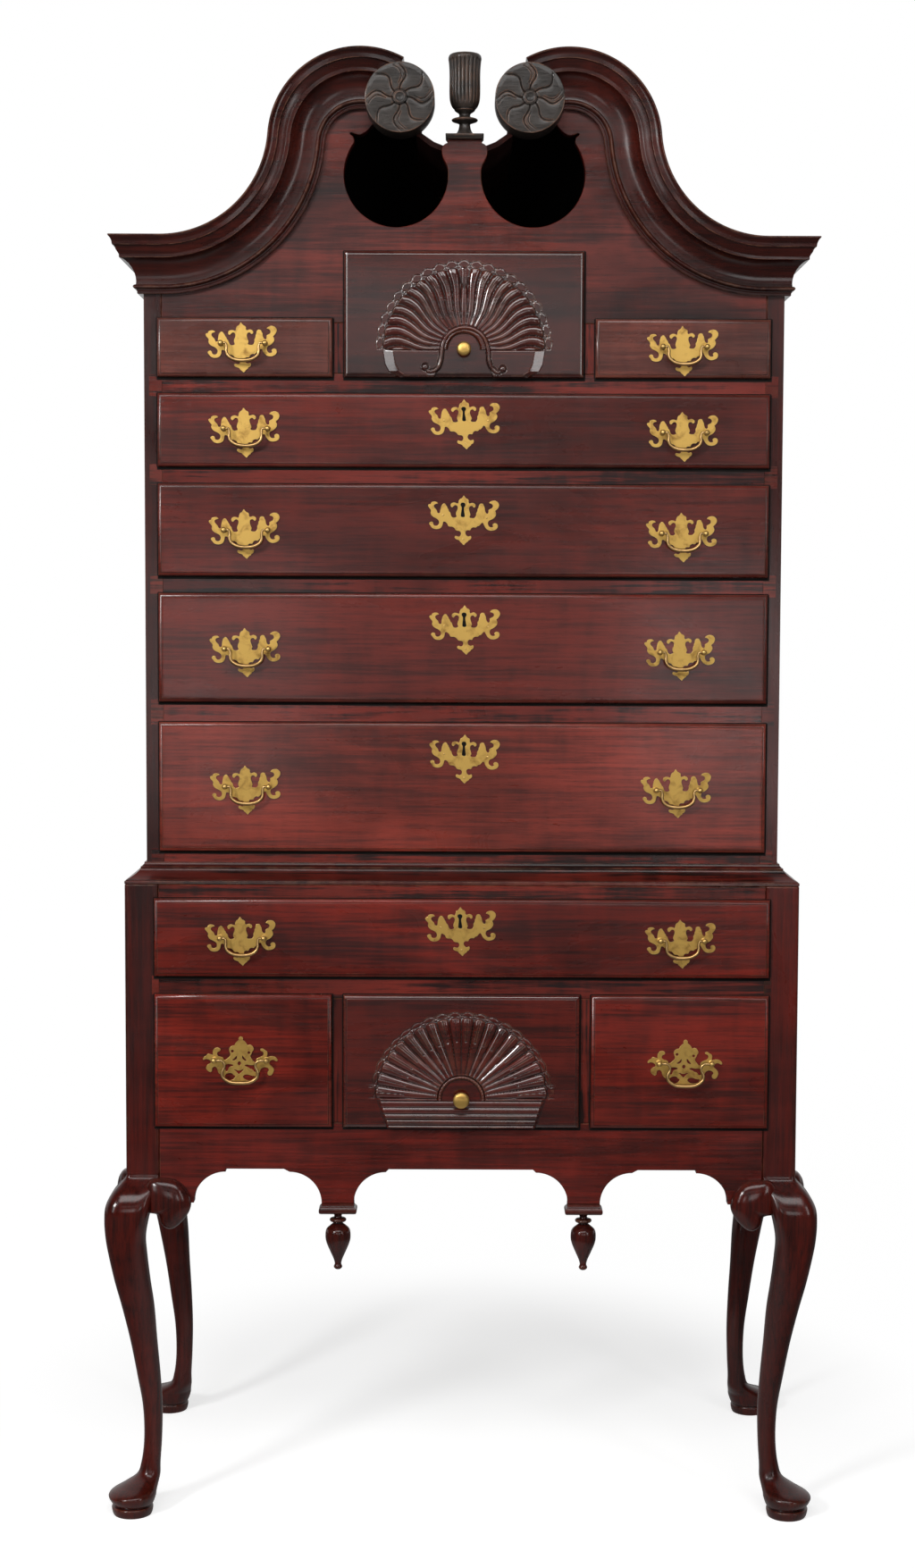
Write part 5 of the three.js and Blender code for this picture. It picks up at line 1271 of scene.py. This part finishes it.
def upper_carving(x, z):
    """Height of the upper shell: bent reeds, a horseshoe bead round a hollow and two smooth wings."""
    r, a = round_hub(x, z)
    t = (r - 32) / 87
    lobe = ((a + reed_bend(r, a)) / math.pi * UPPER_LOBES) % 1
    reed = np.sin(math.pi * lobe) ** 0.62
    tip = 119 - 3.2 * (1 - np.sin(math.pi * ((a / math.pi * UPPER_LOBES) % 1)) ** 0.6)
    fan = 5.0 - (1.5 + 2.3 * smooth(t, 0.0, 0.7)) * (1 - reed) * smooth(t, -0.05, 0.08) - 1.0 * smooth(t, 0.9, 1.0)
    fan = fan - 1.5 * (1 - smooth(t, 0.0, 0.3))
    vein = np.abs(lobe - 0.5) * math.pi / UPPER_LOBES * r
    fan = fan - 0.8 * np.clip(1 - vein / 0.8, 0, 1) * (r > 82) * (np.abs(a - 1.05) < 0.32)
    wedge = (z > 86) & (np.abs(x) < 11 * (z - 86) / 33)
    fan = np.where(wedge, np.minimum(fan, 0.6 + 1.2 * np.exp(-((x / 3) ** 2))), fan)
    height = np.where(z > -1, fan * smooth(tip + 0.8 - r, 0, 1.6), 0)
    height = waved_border(height, z, r, a, UPPER_LOBES, UPPER_LINES, 119, 5.5, 1.0, 2.1, 1.3)
    outer = np.interp(z, [-42, -40.4, -32.5, -21.8, -8.5, 1.6], [97, 98.4, 110, 115.7, 118, 119.7])
    level = np.clip((outer - np.abs(x)) / 15, 0, 1)
    swell = (3.4 + 1.2 * smooth(np.abs(x), 60, 104) - 1.4 * (1 - smooth(-z, 0, 3))) * level + 0.1
    height = np.where((z <= 0) & (np.abs(x) < outer), swell, height)
    height = np.where((r < 31) & (z > 0), 3.6 - 3.6 * smooth(27 - r, 0, 4), height)
    under = (np.abs(x) < np.interp(z, [-42, -16.5, -0.5], [44, 35, 32])) & (z <= 0)
    height = np.where(under, 0.0, height)
    d = line_distance(flowing(HORSESHOE, 60), x, z)
    bead = np.sqrt(np.clip(1 - (d / 2.9) ** 2, 0, 1))
    height = np.where(d < 2.9, np.maximum(height, 2.2 + 2.8 * bead), height - 0.8 * (d < 3.9))
    for end in (HORSESHOE[0], HORSESHOE[-1]):
        far = np.hypot(x - end[0], z - end[1])
        dome = np.sqrt(np.clip(1 - (far / 5.2) ** 2, 0, 1))
        height = np.where(far < 5.2, 2.6 + 3.6 * dome, height - 0.8 * (far < 6.2))
    return height


def lower_carving(x, z):
    """Height of the lower shell: rounded lobes with a vein each, a ring of beads and five reeds below."""
    r, a = round_hub(x, z)
    lobe = (a / math.pi * LOWER_LOBES) % 1
    round_lobe = np.sin(math.pi * lobe) ** 0.55
    radius = lower_edge(a)
    t = (r - 35) / (radius - 35)
    tip = radius - 4.2 * (1 - round_lobe)
    fan = 4.9 - (1.6 + 3.2 * smooth(t, 0.0, 0.8)) * (1 - round_lobe) * smooth(t, -0.1, 0.1) - 0.8 * smooth(t, 0.9, 1)
    vein = np.abs(lobe - 0.5) * math.pi / LOWER_LOBES * r
    fan = fan - 0.9 * np.clip(1 - vein / 0.9, 0, 1) * (r > 88)
    fan = fan - 0.9 * (np.hypot(vein, r - 87) < 1.5)
    height = np.where(z > 0, fan * smooth(tip + 0.8 - r, 0, 1.8), 0)
    height = waved_border(height, z, r, a, LOWER_LOBES, radius + LOWER_LINES, radius - 0.5, 3.4, 0.9, 1.6, 1.1)
    lines = np.array([0.5, -3.2, -13.7, -23.5, -31.4, -40.1, -47.5])
    half = np.interp(z, [-47.5, -3.2, 0.5], [112, 126, 127])
    for low, high in zip(lines[1:], lines[:-1]):
        inside = (z <= high) & (z > low) & (np.abs(x) < half)
        reed = np.sin(math.pi * np.clip((z - low) / (high - low), 0, 1)) ** 0.5
        height = np.where(inside, (1.9 + 2.9 * reed) * smooth(half - np.abs(x), 0, 7), height)
    disc = (r < 35.6) & (z > -2.5)
    ring = np.sqrt(np.clip(1 - ((r - 32.2) / 2.7) ** 2, 0, 1)) * (0.86 + 0.14 * np.abs(np.sin(a * 22)))
    height = np.where(disc, np.where(np.abs(r - 32.2) < 2.7, 2.0 + 3.0 * ring, 2.0), height)
    return np.where((r >= 35) & (r < 36.4) & (z > -2.5), height - 0.9, height)


def chalk_lines_and_valley_shade(mesh, name, front, hub):
    """Pales the waved lines, the dots and the veins of a shell, and darkens the valleys between its lobes with painted
    shade.
    """
    x, y, z = read(mesh.polygons, "center", 3).T / MM
    z = z - hub
    r, a = round_hub(x, z)
    if name == "top_shell":
        middle, lobes, reach, first, bend = UPPER_LINES, UPPER_LOBES, 5.0, 82, reed_bend(r, a)
        veined = np.abs(a - 1.05) < 0.32
    else:
        middle, lobes, reach, first, bend = lower_edge(a) + LOWER_LINES, LOWER_LOBES, 3.6, 88, 0
        veined = a < 1.2
    wave = reach * np.sin(a * lobes)
    lens = ((a / math.pi * lobes + 0.5) % 1 - 0.5) * math.pi / lobes * r
    pale = np.zeros(len(x), bool)
    for side in (-1, 1):
        pale |= np.abs(r - middle - side * wave) < 0.62
        pale |= np.hypot(r - middle - side * reach * 0.4, lens) < 0.9
    pale &= r > middle - reach - 1
    lobe = ((a + bend) / math.pi * lobes) % 1
    vein = np.abs(lobe - 0.5) * math.pi / lobes * r
    pale |= (vein < 0.55) & (r > first) & (r < 114) & veined
    pale &= (z > -1) & (y < front)
    # Painted shade in the valleys between the lobes, marked as a crease.
    among = (z > 0) & (r > 34) & (r < middle - 3) & (y < front + 9)
    valley = np.clip(1 - np.sin(math.pi * lobe) / 0.34, 0, 1) * among
    for mark, chosen, value in (("worn", pale, 0.8), ("crease_soil_and_shade", valley > 0, valley * 0.9)):
        layer = mesh.attributes[mark].data
        values = read(layer, "value", kind=np.float32)
        layer.foreach_set("value", np.where(chosen, np.maximum(values, value), values).astype(np.float32))


# Openings of the carved drawers: left, right, bottom, top, case, height of the hub and carving
SHELL_DRAWERS = {
    "lower_shell": (DIVIDER - LOWER_SPLIT, LOWER_SPLIT - DIVIDER, *LOWER_ROW, "lower", LOWER_HUB, lower_carving),
    "top_shell": (DIVIDER - UPPER_SPLIT, UPPER_SPLIT - DIVIDER, TOP_ROW[0], SHELL_TOP, "upper", UPPER_HUB,
                  upper_carving),
}


def shape_shell_drawers():
    sizes = bpy.context.scene.highboy_sizes
    step = sizes.carving_step / MM
    deep = sizes.carving_depth / MM / 5.0
    edge = np.array([0, 0.25, 0.9, 1.9, 3.4, 5.0, 5.6, 5.75, 6.2])
    spread = lambda start, end, count: np.linspace(start, end, max(2, int(count)))
    for name, (x0, x1, z0, z1, case, hub, carving) in SHELL_DRAWERS.items():
        front, depth = CASES[case]
        a, b, low, high = x0 - LIP, x1 + LIP, z0 - LIP, z1 + LIP
        across = [a + edge, spread(a + 6.2, -133, 8), spread(-133, 133, 266 / step), spread(133, b - 6.2, 8),
                  b - edge]
        upward = [low + edge, spread(low + 6.2, high - 6.2, (high - low) / step), high - edge]
        x, z = np.meshgrid(*(np.unique(np.round(np.concatenate(parts), 4)) for parts in (across, upward)))
        border = np.minimum.reduce([x - a, b - x, high - z, z - low])
        height = carving(x, z - hub) * deep
        foot = (z - low < 8) & (height > 1) & (np.minimum(x - a, b - x) > 12)
        out = np.where(border > 6.2, LIP_PROUD + height, lip_height(border))
        out = np.where(foot, LIP_PROUD + height * smooth(z - low, -1.5, 2.5), out)
        face = np.stack([x, front - out, z], axis=-1)
        bench = Bench("x")
        bench.count = 7
        bench.grid(face)
        for rim, flip in ((face[0], False), (face[-1], True), (face[:, 0], True), (face[:, -1], False)):
            bench.grid(np.stack([rim, loop(rim[:, 0], front - 0.3, rim[:, 2])]), flip=flip, board=8)
        bench.board(a + 0.2, b - 0.2, front - 0.6, front - 0.3, low + 0.2, high - 0.2, 0.05)
        drawer_box(bench, x0, x1, z0, z1, front, depth)
        piece = bench.make("Drawer_" + name, "drawer_" + name, [front_wood(name), inside_wood()],
                           ["drawer_" + name], angle=55)
        chalk_lines_and_valley_shade(piece.data, name, front - LIP_PROUD + 1, hub)


# Brass

def pull_place(name):
    """Middle of a pull's post axis and the face that its plate lies on, from its joint in the model."""
    joint = next(j for j in frame["joints"] if j["name"] == "bail_" + name + "_swing")
    x, y, z = joint["pos_m"]
    return x / MM, y / MM + POST_REACH, z / MM


PULLS = {
    "lower_long_left": "lower_long", "lower_long_right": "lower_long", "lower_left": "lower_left",
    "lower_right": "lower_right", "top_left": "top_left", "top_right": "top_right",
}
PULLS.update({name + side: name for name in LONG_OPENINGS for side in ("_left", "_right")})
PIERCED = ("lower_left", "lower_right")
POST_REACH = 12
PLAIN_SPAN = 32.5
PIERCED_SPAN = 39


def add_nail(bench, x, y, z):
    """The round head of a nail on a plate."""
    dome = [(1.5, 0), (1.5, 0.25), (1.5 * 0.8, 0.7), (1.5 * 0.4, 0.95), (0, 1.02)]
    bench.turned(dome, (x, y, z), 14, axis="y")


def shape_plates():
    posts = [(4.4, 1.4), (4.4, 2.2), (3.8, 2.7), (2.9, 3.3), (2.4, 4.6), (2.3, 6.4), (2.8, 7.6), (2.7, 8.4)]
    ball = [(4.2 * math.sin(t), POST_REACH - 4.2 * math.cos(t)) for t in np.linspace(0.7, math.pi, 16)]
    for name, drawer in PULLS.items():
        x, y, z = pull_place(name)
        pierced = name in PIERCED
        outline = softened(PIERCED_OUTLINE if pierced else PLATE_OUTLINE, 1)
        holes = [softened(window, 1) for window in PIERCED_WINDOWS] if pierced else []
        if pierced:
            holes += [arc(centre, radius, 0, 2 * math.pi, 16)[:-1] for centre, radius in PIERCED_HOLES]
        bench = Bench("x")
        bench.add(*sheet(outline, holes, 1.6, (x, y, z)))
        span = PIERCED_SPAN if pierced else PLAIN_SPAN
        for side in (-1, 1):
            bench.turned(posts + ball, (x + side * span, y, z), 28, axis="y", caps=False)
        bench.make("Plate_" + name, "drawer_" + drawer, [plate_brass()], ["plate_" + name], angle=14)


def shape_bails():
    middle = bpy.context.scene.highboy_sizes.bail_thickness / MM / 2
    for name in PULLS:
        x, y, z = pull_place(name)
        half, drop, bend = (PIERCED_SPAN, 33, PIERCED_BAIL) if name in PIERCED else (PLAIN_SPAN, 25, PLAIN_BAIL)
        right = [(half - 2, 0), (half - 5, 0)] + [(a * half, b * drop) for a, b in bend]
        fine = flowing(right + [(-a, b) for a, b in right[-2::-1]], 84)
        path = loop(x + fine[:, 0], y - POST_REACH, z + fine[:, 1])
        t = np.abs(np.linspace(-1, 1, len(fine)))
        radii = 1.5 + (middle - 1.5) * (1 - smooth(t, 0.15, 0.9)) + 0.35 * np.exp(-((t - 0.86) / 0.03) ** 2)
        bench = Bench("x")
        bench.bent(path, radii, 14)
        bench.make("Bail_" + name, "bail_" + name, [bail_metal()], ["bail_" + name], angle=60)


# Middle of each escutcheon, and how far it has turned clockwise
ESCUTCHEON_PLACES = {
    "upper_first": (3.7, 1649.4, 0.0),
    "upper_second": (2.3, 1508.5, 3.3),
    "upper_third": (5.2, 1346.4, 1.1),
    "upper_fourth": (5.1, 1154.3, 3.7),
    "lower_long": (0.8, 899.4, 0.7),
}


def shape_escutcheons():
    for drawer, (x, z, turn) in ESCUTCHEON_PLACES.items():
        front = CASES[drawer.split("_")[0]][0]
        a = math.radians(-turn)
        spin = np.array([[math.cos(a), math.sin(a)], [-math.sin(a), math.cos(a)]])
        bench = Bench("x")
        place = (x, front - LIP_PROUD - 0.05, z)
        outline = softened(np.array(PLATE_OUTLINE) @ spin, 1)
        bench.add(*sheet(outline, [softened(np.array(KEYHOLE) @ spin, 1)], 1.4, place))
        for nail in ((-PLAIN_SPAN, 0), (PLAIN_SPAN, 0), (-0.5, -33.5)):
            nx, nz = np.array(nail) @ spin
            add_nail(bench, x + nx, place[1] - 1.3, z + nz)
        kx, kz = np.array((-3.6, 9)) @ spin
        # A near-black board of painted shade shows through the keyhole.
        bench.board(x + kx - 5, x + kx + 5, place[1] - 0.2, place[1], z + kz - 12.5, z + kz + 12.5, 0.05, finish=1)
        bench.make("Escutcheon_" + drawer, "drawer_" + drawer, [plate_brass(), painted_shade_and_seam_black()], angle=14)


def shape_knobs():
    for name, radius in (("lower_shell", 12.2), ("top_shell", 10.5)):
        case, hub = SHELL_DRAWERS[name][4:6]
        place = (0, CASES[case][0] - 15.3, hub)
        bench = Bench("x")
        bench.turned(flowing([(r * radius, t * 15) for r, t in KNOB_PROFILE], 60), place, axis="y")
        bench.turned([(3.4, -4), (3.4, 0.5)], place, 20, axis="y")
        bench.make("Knob_" + name, "drawer_" + name, [plate_brass()], ["knob_" + name], angle=50)


# Studio

def set_floor():
    half = bpy.context.scene.highboy_sizes.floor / 2
    mesh = bpy.data.meshes.new("Studio_floor")
    mesh.from_pydata([(-half, -half, 0), (half, -half, 0), (half, half, 0), (-half, half, 0)], [], [(0, 1, 2, 3)])
    floor = set_out("Studio_floor", mesh)
    paper, w, shader = new_material("Studio paper")
    place = w.node("ShaderNodeTexCoord").outputs["Object"]
    cloud = w.step(w.noise(place, 1.5, 2.0), 0.3, 0.7, 0.97, 1.0)
    away = w.node("ShaderNodeVectorMath", {0: w.scaled(place, (1.25, 1, 1))}, operation="LENGTH").outputs[1]
    cloud = w.times(cloud, w.step(away, 0.66, 1.2, 0.62, 0.04))
    pale = w.node("ShaderNodeCombineColor", {0: cloud, 1: cloud, 2: cloud}).outputs[0]
    path = w.node("ShaderNodeLightPath").outputs
    seen = w.maths("MAXIMUM", path["Is Camera Ray"], w.times(path["Is Glossy Ray"], 0.1))
    # Camera rays see the paper glow: less near the piece, where its shadows stay, and almost white further out, where
    # the glow is painted light that whites out the lamps' shadows.
    glow = w.step(away, 0.66, 1.2, 0.67, 0.98)
    w.feed(shader, {"Base Color": pale, "Roughness": 0.9, "Specular IOR Level": 0.1,
                    "Emission Color": (1, 1, 1, 1), "Emission Strength": w.times(seen, glow)})
    mesh.materials.append(paper)


def set_lamp(name, place, aim, watts, width, height):
    """A soft square lamp that faces a point."""
    lamp = bpy.data.lights.new(name, "AREA")
    lamp.shape = "RECTANGLE"
    lamp.size, lamp.size_y, lamp.energy = width, height, watts
    stand = set_out(name, lamp)
    stand.location = place
    stand.rotation_euler = (Vector(aim) - Vector(place)).to_track_quat("-Z", "Y").to_euler()


def set_world():
    world = bpy.data.worlds.new("Studio")
    bpy.context.scene.world = world
    world.use_nodes = True
    w = Wiring(world.node_tree)
    path = w.node("ShaderNodeLightPath").outputs
    seen = w.maths("MAXIMUM", path["Is Camera Ray"], path["Is Transmission Ray"])
    level = w.plus(w.times(seen, 0.86), 0.14)
    ahead = w.node("ShaderNodeSeparateXYZ", {0: w.node("ShaderNodeTexCoord").outputs["Generated"]}).outputs[1]
    backdrop = w.times(path["Is Glossy Ray"], w.step(ahead, -0.3, 0.4, -0.1, 0.6))
    w.feed(world.node_tree.nodes["Background"].inputs,
           {"Color": (1, 1, 1, 1), "Strength": w.plus(level, backdrop, clamp=True)})


def set_camera():
    """The view from straight in front, slightly from above."""
    tilt, roll = 0.07347, 0.0036
    lens = bpy.data.cameras.new("Front_view")
    lens.lens, lens.sensor_width, lens.sensor_fit = 55.97, 36, "AUTO"
    camera = set_out("Front_view", lens)
    ahead = Vector((0, math.cos(tilt), -math.sin(tilt)))
    up = Vector((0, math.sin(tilt), math.cos(tilt)))
    across = Vector((1, 0, 0))
    right = across * math.cos(roll) + up * math.sin(roll)
    top = up * math.cos(roll) - across * math.sin(roll)
    turn = Matrix((right, top, -ahead)).transposed().to_4x4()
    camera.matrix_world = Matrix.Translation((-0.00713, -3.8564, 1.37845)) @ turn
    bpy.context.scene.camera = camera


def set_stage():
    set_floor()
    set_world()
    set_lamp("Key_lamp", (-3.0, -3.9, 3.2), (0, 0, 1.1), 98, 0.75, 0.75)
    set_lamp("Strip_lamp", (0, -2.8, 3.4), (0, -0.2, 1.3), 62, 3.2, 1.0)
    set_lamp("Left_lamp", (-2.35, -3.1, 1.8), (0, 0, 1.2), 17, 0.5, 2.0)
    set_lamp("Right_lamp", (2.35, -3.1, 1.8), (0, 0, 1.2), 18, 0.5, 2.0)
    set_lamp("Left_panel", (-0.72, -3.8, 1.15), (-0.3, 0, 1.15), 4, 0.55, 0.75)
    set_lamp("Right_panel", (0.78, -3.8, 1.1), (0.3, 0, 1.15), 5.5, 0.6, 0.8)
    set_lamp("Middle_panel", (0, -3.9, 1.2), (0, 0, 1.2), 1.2, 0.8, 1.6)
    set_lamp("Upper_panel", (0, -3.8, 2.2), (0, 0, 1.7), 2.6, 2.4, 0.4)
    set_camera()
    bpy.context.scene.view_settings.view_transform = "Standard"


# Operators, one for each kind of piece

class Step:
    """Runs the job of an operator."""

    def execute(self, context):
        self.job()
        return {"FINISHED"}


class HIGHBOY_OT_stage(Step, bpy.types.Operator):
    """Set the floor, the lamps and the camera"""
    bl_idname = "highboy.stage"
    bl_label = "Studio"
    job = staticmethod(set_stage)


class HIGHBOY_OT_legs(Step, bpy.types.Operator):
    """Shape the four cabriole legs with their posts and knee brackets"""
    bl_idname = "highboy.legs"
    bl_label = "Cabriole Legs"
    job = staticmethod(shape_legs)


class HIGHBOY_OT_lower_case(Step, bpy.types.Operator):
    """Build the boards, rails and dividers of the lower case"""
    bl_idname = "highboy.lower_case"
    bl_label = "Lower Case"
    job = staticmethod(shape_lower_case)


class HIGHBOY_OT_apron(Step, bpy.types.Operator):
    """Saw the scalloped apron under the lowest drawers"""
    bl_idname = "highboy.apron"
    bl_label = "Apron"
    job = staticmethod(shape_apron)


class HIGHBOY_OT_drops(Step, bpy.types.Operator):
    """Turn the two drops under the apron"""
    bl_idname = "highboy.drops"
    bl_label = "Drops"
    job = staticmethod(shape_drops)


class HIGHBOY_OT_waist(Step, bpy.types.Operator):
    """Run the moulding between the two cases"""
    bl_idname = "highboy.waist"
    bl_label = "Waist Moulding"
    job = staticmethod(shape_waist)


class HIGHBOY_OT_upper_case(Step, bpy.types.Operator):
    """Build the boards, rails and dividers of the upper case"""
    bl_idname = "highboy.upper_case"
    bl_label = "Upper Case"
    job = staticmethod(shape_upper_case)


class HIGHBOY_OT_tympanum(Step, bpy.types.Operator):
    """Saw the board behind the scrolls with its two eyes"""
    bl_idname = "highboy.tympanum"
    bl_label = "Scroll Board"
    job = staticmethod(shape_tympanum)


class HIGHBOY_OT_crowns(Step, bpy.types.Operator):
    """Run the two scrolled crown mouldings"""
    bl_idname = "highboy.crowns"
    bl_label = "Scrolled Crowns"
    job = staticmethod(shape_crowns)


class HIGHBOY_OT_rosettes(Step, bpy.types.Operator):
    """Carve the two whirled rosettes"""
    bl_idname = "highboy.rosettes"
    bl_label = "Rosettes"
    job = staticmethod(shape_rosettes)


class HIGHBOY_OT_finial(Step, bpy.types.Operator):
    """Turn and flute the finial on its plinth cap"""
    bl_idname = "highboy.finial"
    bl_label = "Finial"
    job = staticmethod(shape_finial)


class HIGHBOY_OT_roof(Step, bpy.types.Operator):
    """Finish the bonnet roof and plank the upper back"""
    bl_idname = "highboy.roof"
    bl_label = "Roof and Backs"
    job = staticmethod(finish_roof)


class HIGHBOY_OT_drawers(Step, bpy.types.Operator):
    """Make the nine plain drawers with thumb-moulded fronts"""
    bl_idname = "highboy.drawers"
    bl_label = "Plain Drawers"
    job = staticmethod(shape_plain_drawers)


class HIGHBOY_OT_shell_drawers(Step, bpy.types.Operator):
    """Carve the two shell drawers"""
    bl_idname = "highboy.shell_drawers"
    bl_label = "Shell Drawers"
    job = staticmethod(shape_shell_drawers)


class HIGHBOY_OT_plates(Step, bpy.types.Operator):
    """Cut the fourteen pull plates and fit their posts"""
    bl_idname = "highboy.plates"
    bl_label = "Pull Plates"
    job = staticmethod(shape_plates)


class HIGHBOY_OT_bails(Step, bpy.types.Operator):
    """Bend the fourteen bails"""
    bl_idname = "highboy.bails"
    bl_label = "Bails"
    job = staticmethod(shape_bails)


class HIGHBOY_OT_escutcheons(Step, bpy.types.Operator):
    """Cut and nail the five lock escutcheons"""
    bl_idname = "highboy.escutcheons"
    bl_label = "Escutcheons"
    job = staticmethod(shape_escutcheons)


class HIGHBOY_OT_knobs(Step, bpy.types.Operator):
    """Turn the knobs of the two shell drawers"""
    bl_idname = "highboy.knobs"
    bl_label = "Knobs"
    job = staticmethod(shape_knobs)


OPERATORS = [
    HIGHBOY_OT_stage, HIGHBOY_OT_legs, HIGHBOY_OT_lower_case, HIGHBOY_OT_apron, HIGHBOY_OT_drops, HIGHBOY_OT_waist,
    HIGHBOY_OT_upper_case, HIGHBOY_OT_tympanum, HIGHBOY_OT_crowns, HIGHBOY_OT_rosettes, HIGHBOY_OT_finial,
    HIGHBOY_OT_roof, HIGHBOY_OT_drawers, HIGHBOY_OT_shell_drawers, HIGHBOY_OT_plates, HIGHBOY_OT_bails,
    HIGHBOY_OT_escutcheons, HIGHBOY_OT_knobs,
]


class HIGHBOY_PT_workshop(bpy.types.Panel):
    """Steps and settings of the highboy"""
    bl_label = "Highboy"
    bl_idname = "HIGHBOY_PT_workshop"
    bl_space_type = "VIEW_3D"
    bl_region_type = "UI"
    bl_category = "Highboy"

    def draw(self, context):
        layout = self.layout
        for group in (context.scene.highboy_finish, context.scene.highboy_sizes):
            column = layout.column(align=True)
            for key in group.__annotations__:
                column.prop(group, key)
        column = layout.column(align=True)
        for step in OPERATORS:
            column.operator(step.bl_idname, text=step.bl_label)


CLASSES = [HighboyFinish, HighboySizes, *OPERATORS, HIGHBOY_PT_workshop]


def register():
    for kind in CLASSES:
        bpy.utils.register_class(kind)
    bpy.types.Scene.highboy_finish = PointerProperty(type=HighboyFinish)
    bpy.types.Scene.highboy_sizes = PointerProperty(type=HighboySizes)


def unregister():
    del bpy.types.Scene.highboy_sizes
    del bpy.types.Scene.highboy_finish
    for kind in reversed(CLASSES):
        bpy.utils.unregister_class(kind)


def main():
    register()
    for step in OPERATORS:
        group, name = step.bl_idname.split(".")
        getattr(getattr(bpy.ops, group), name)()


if __name__ == "__main__":
    main()
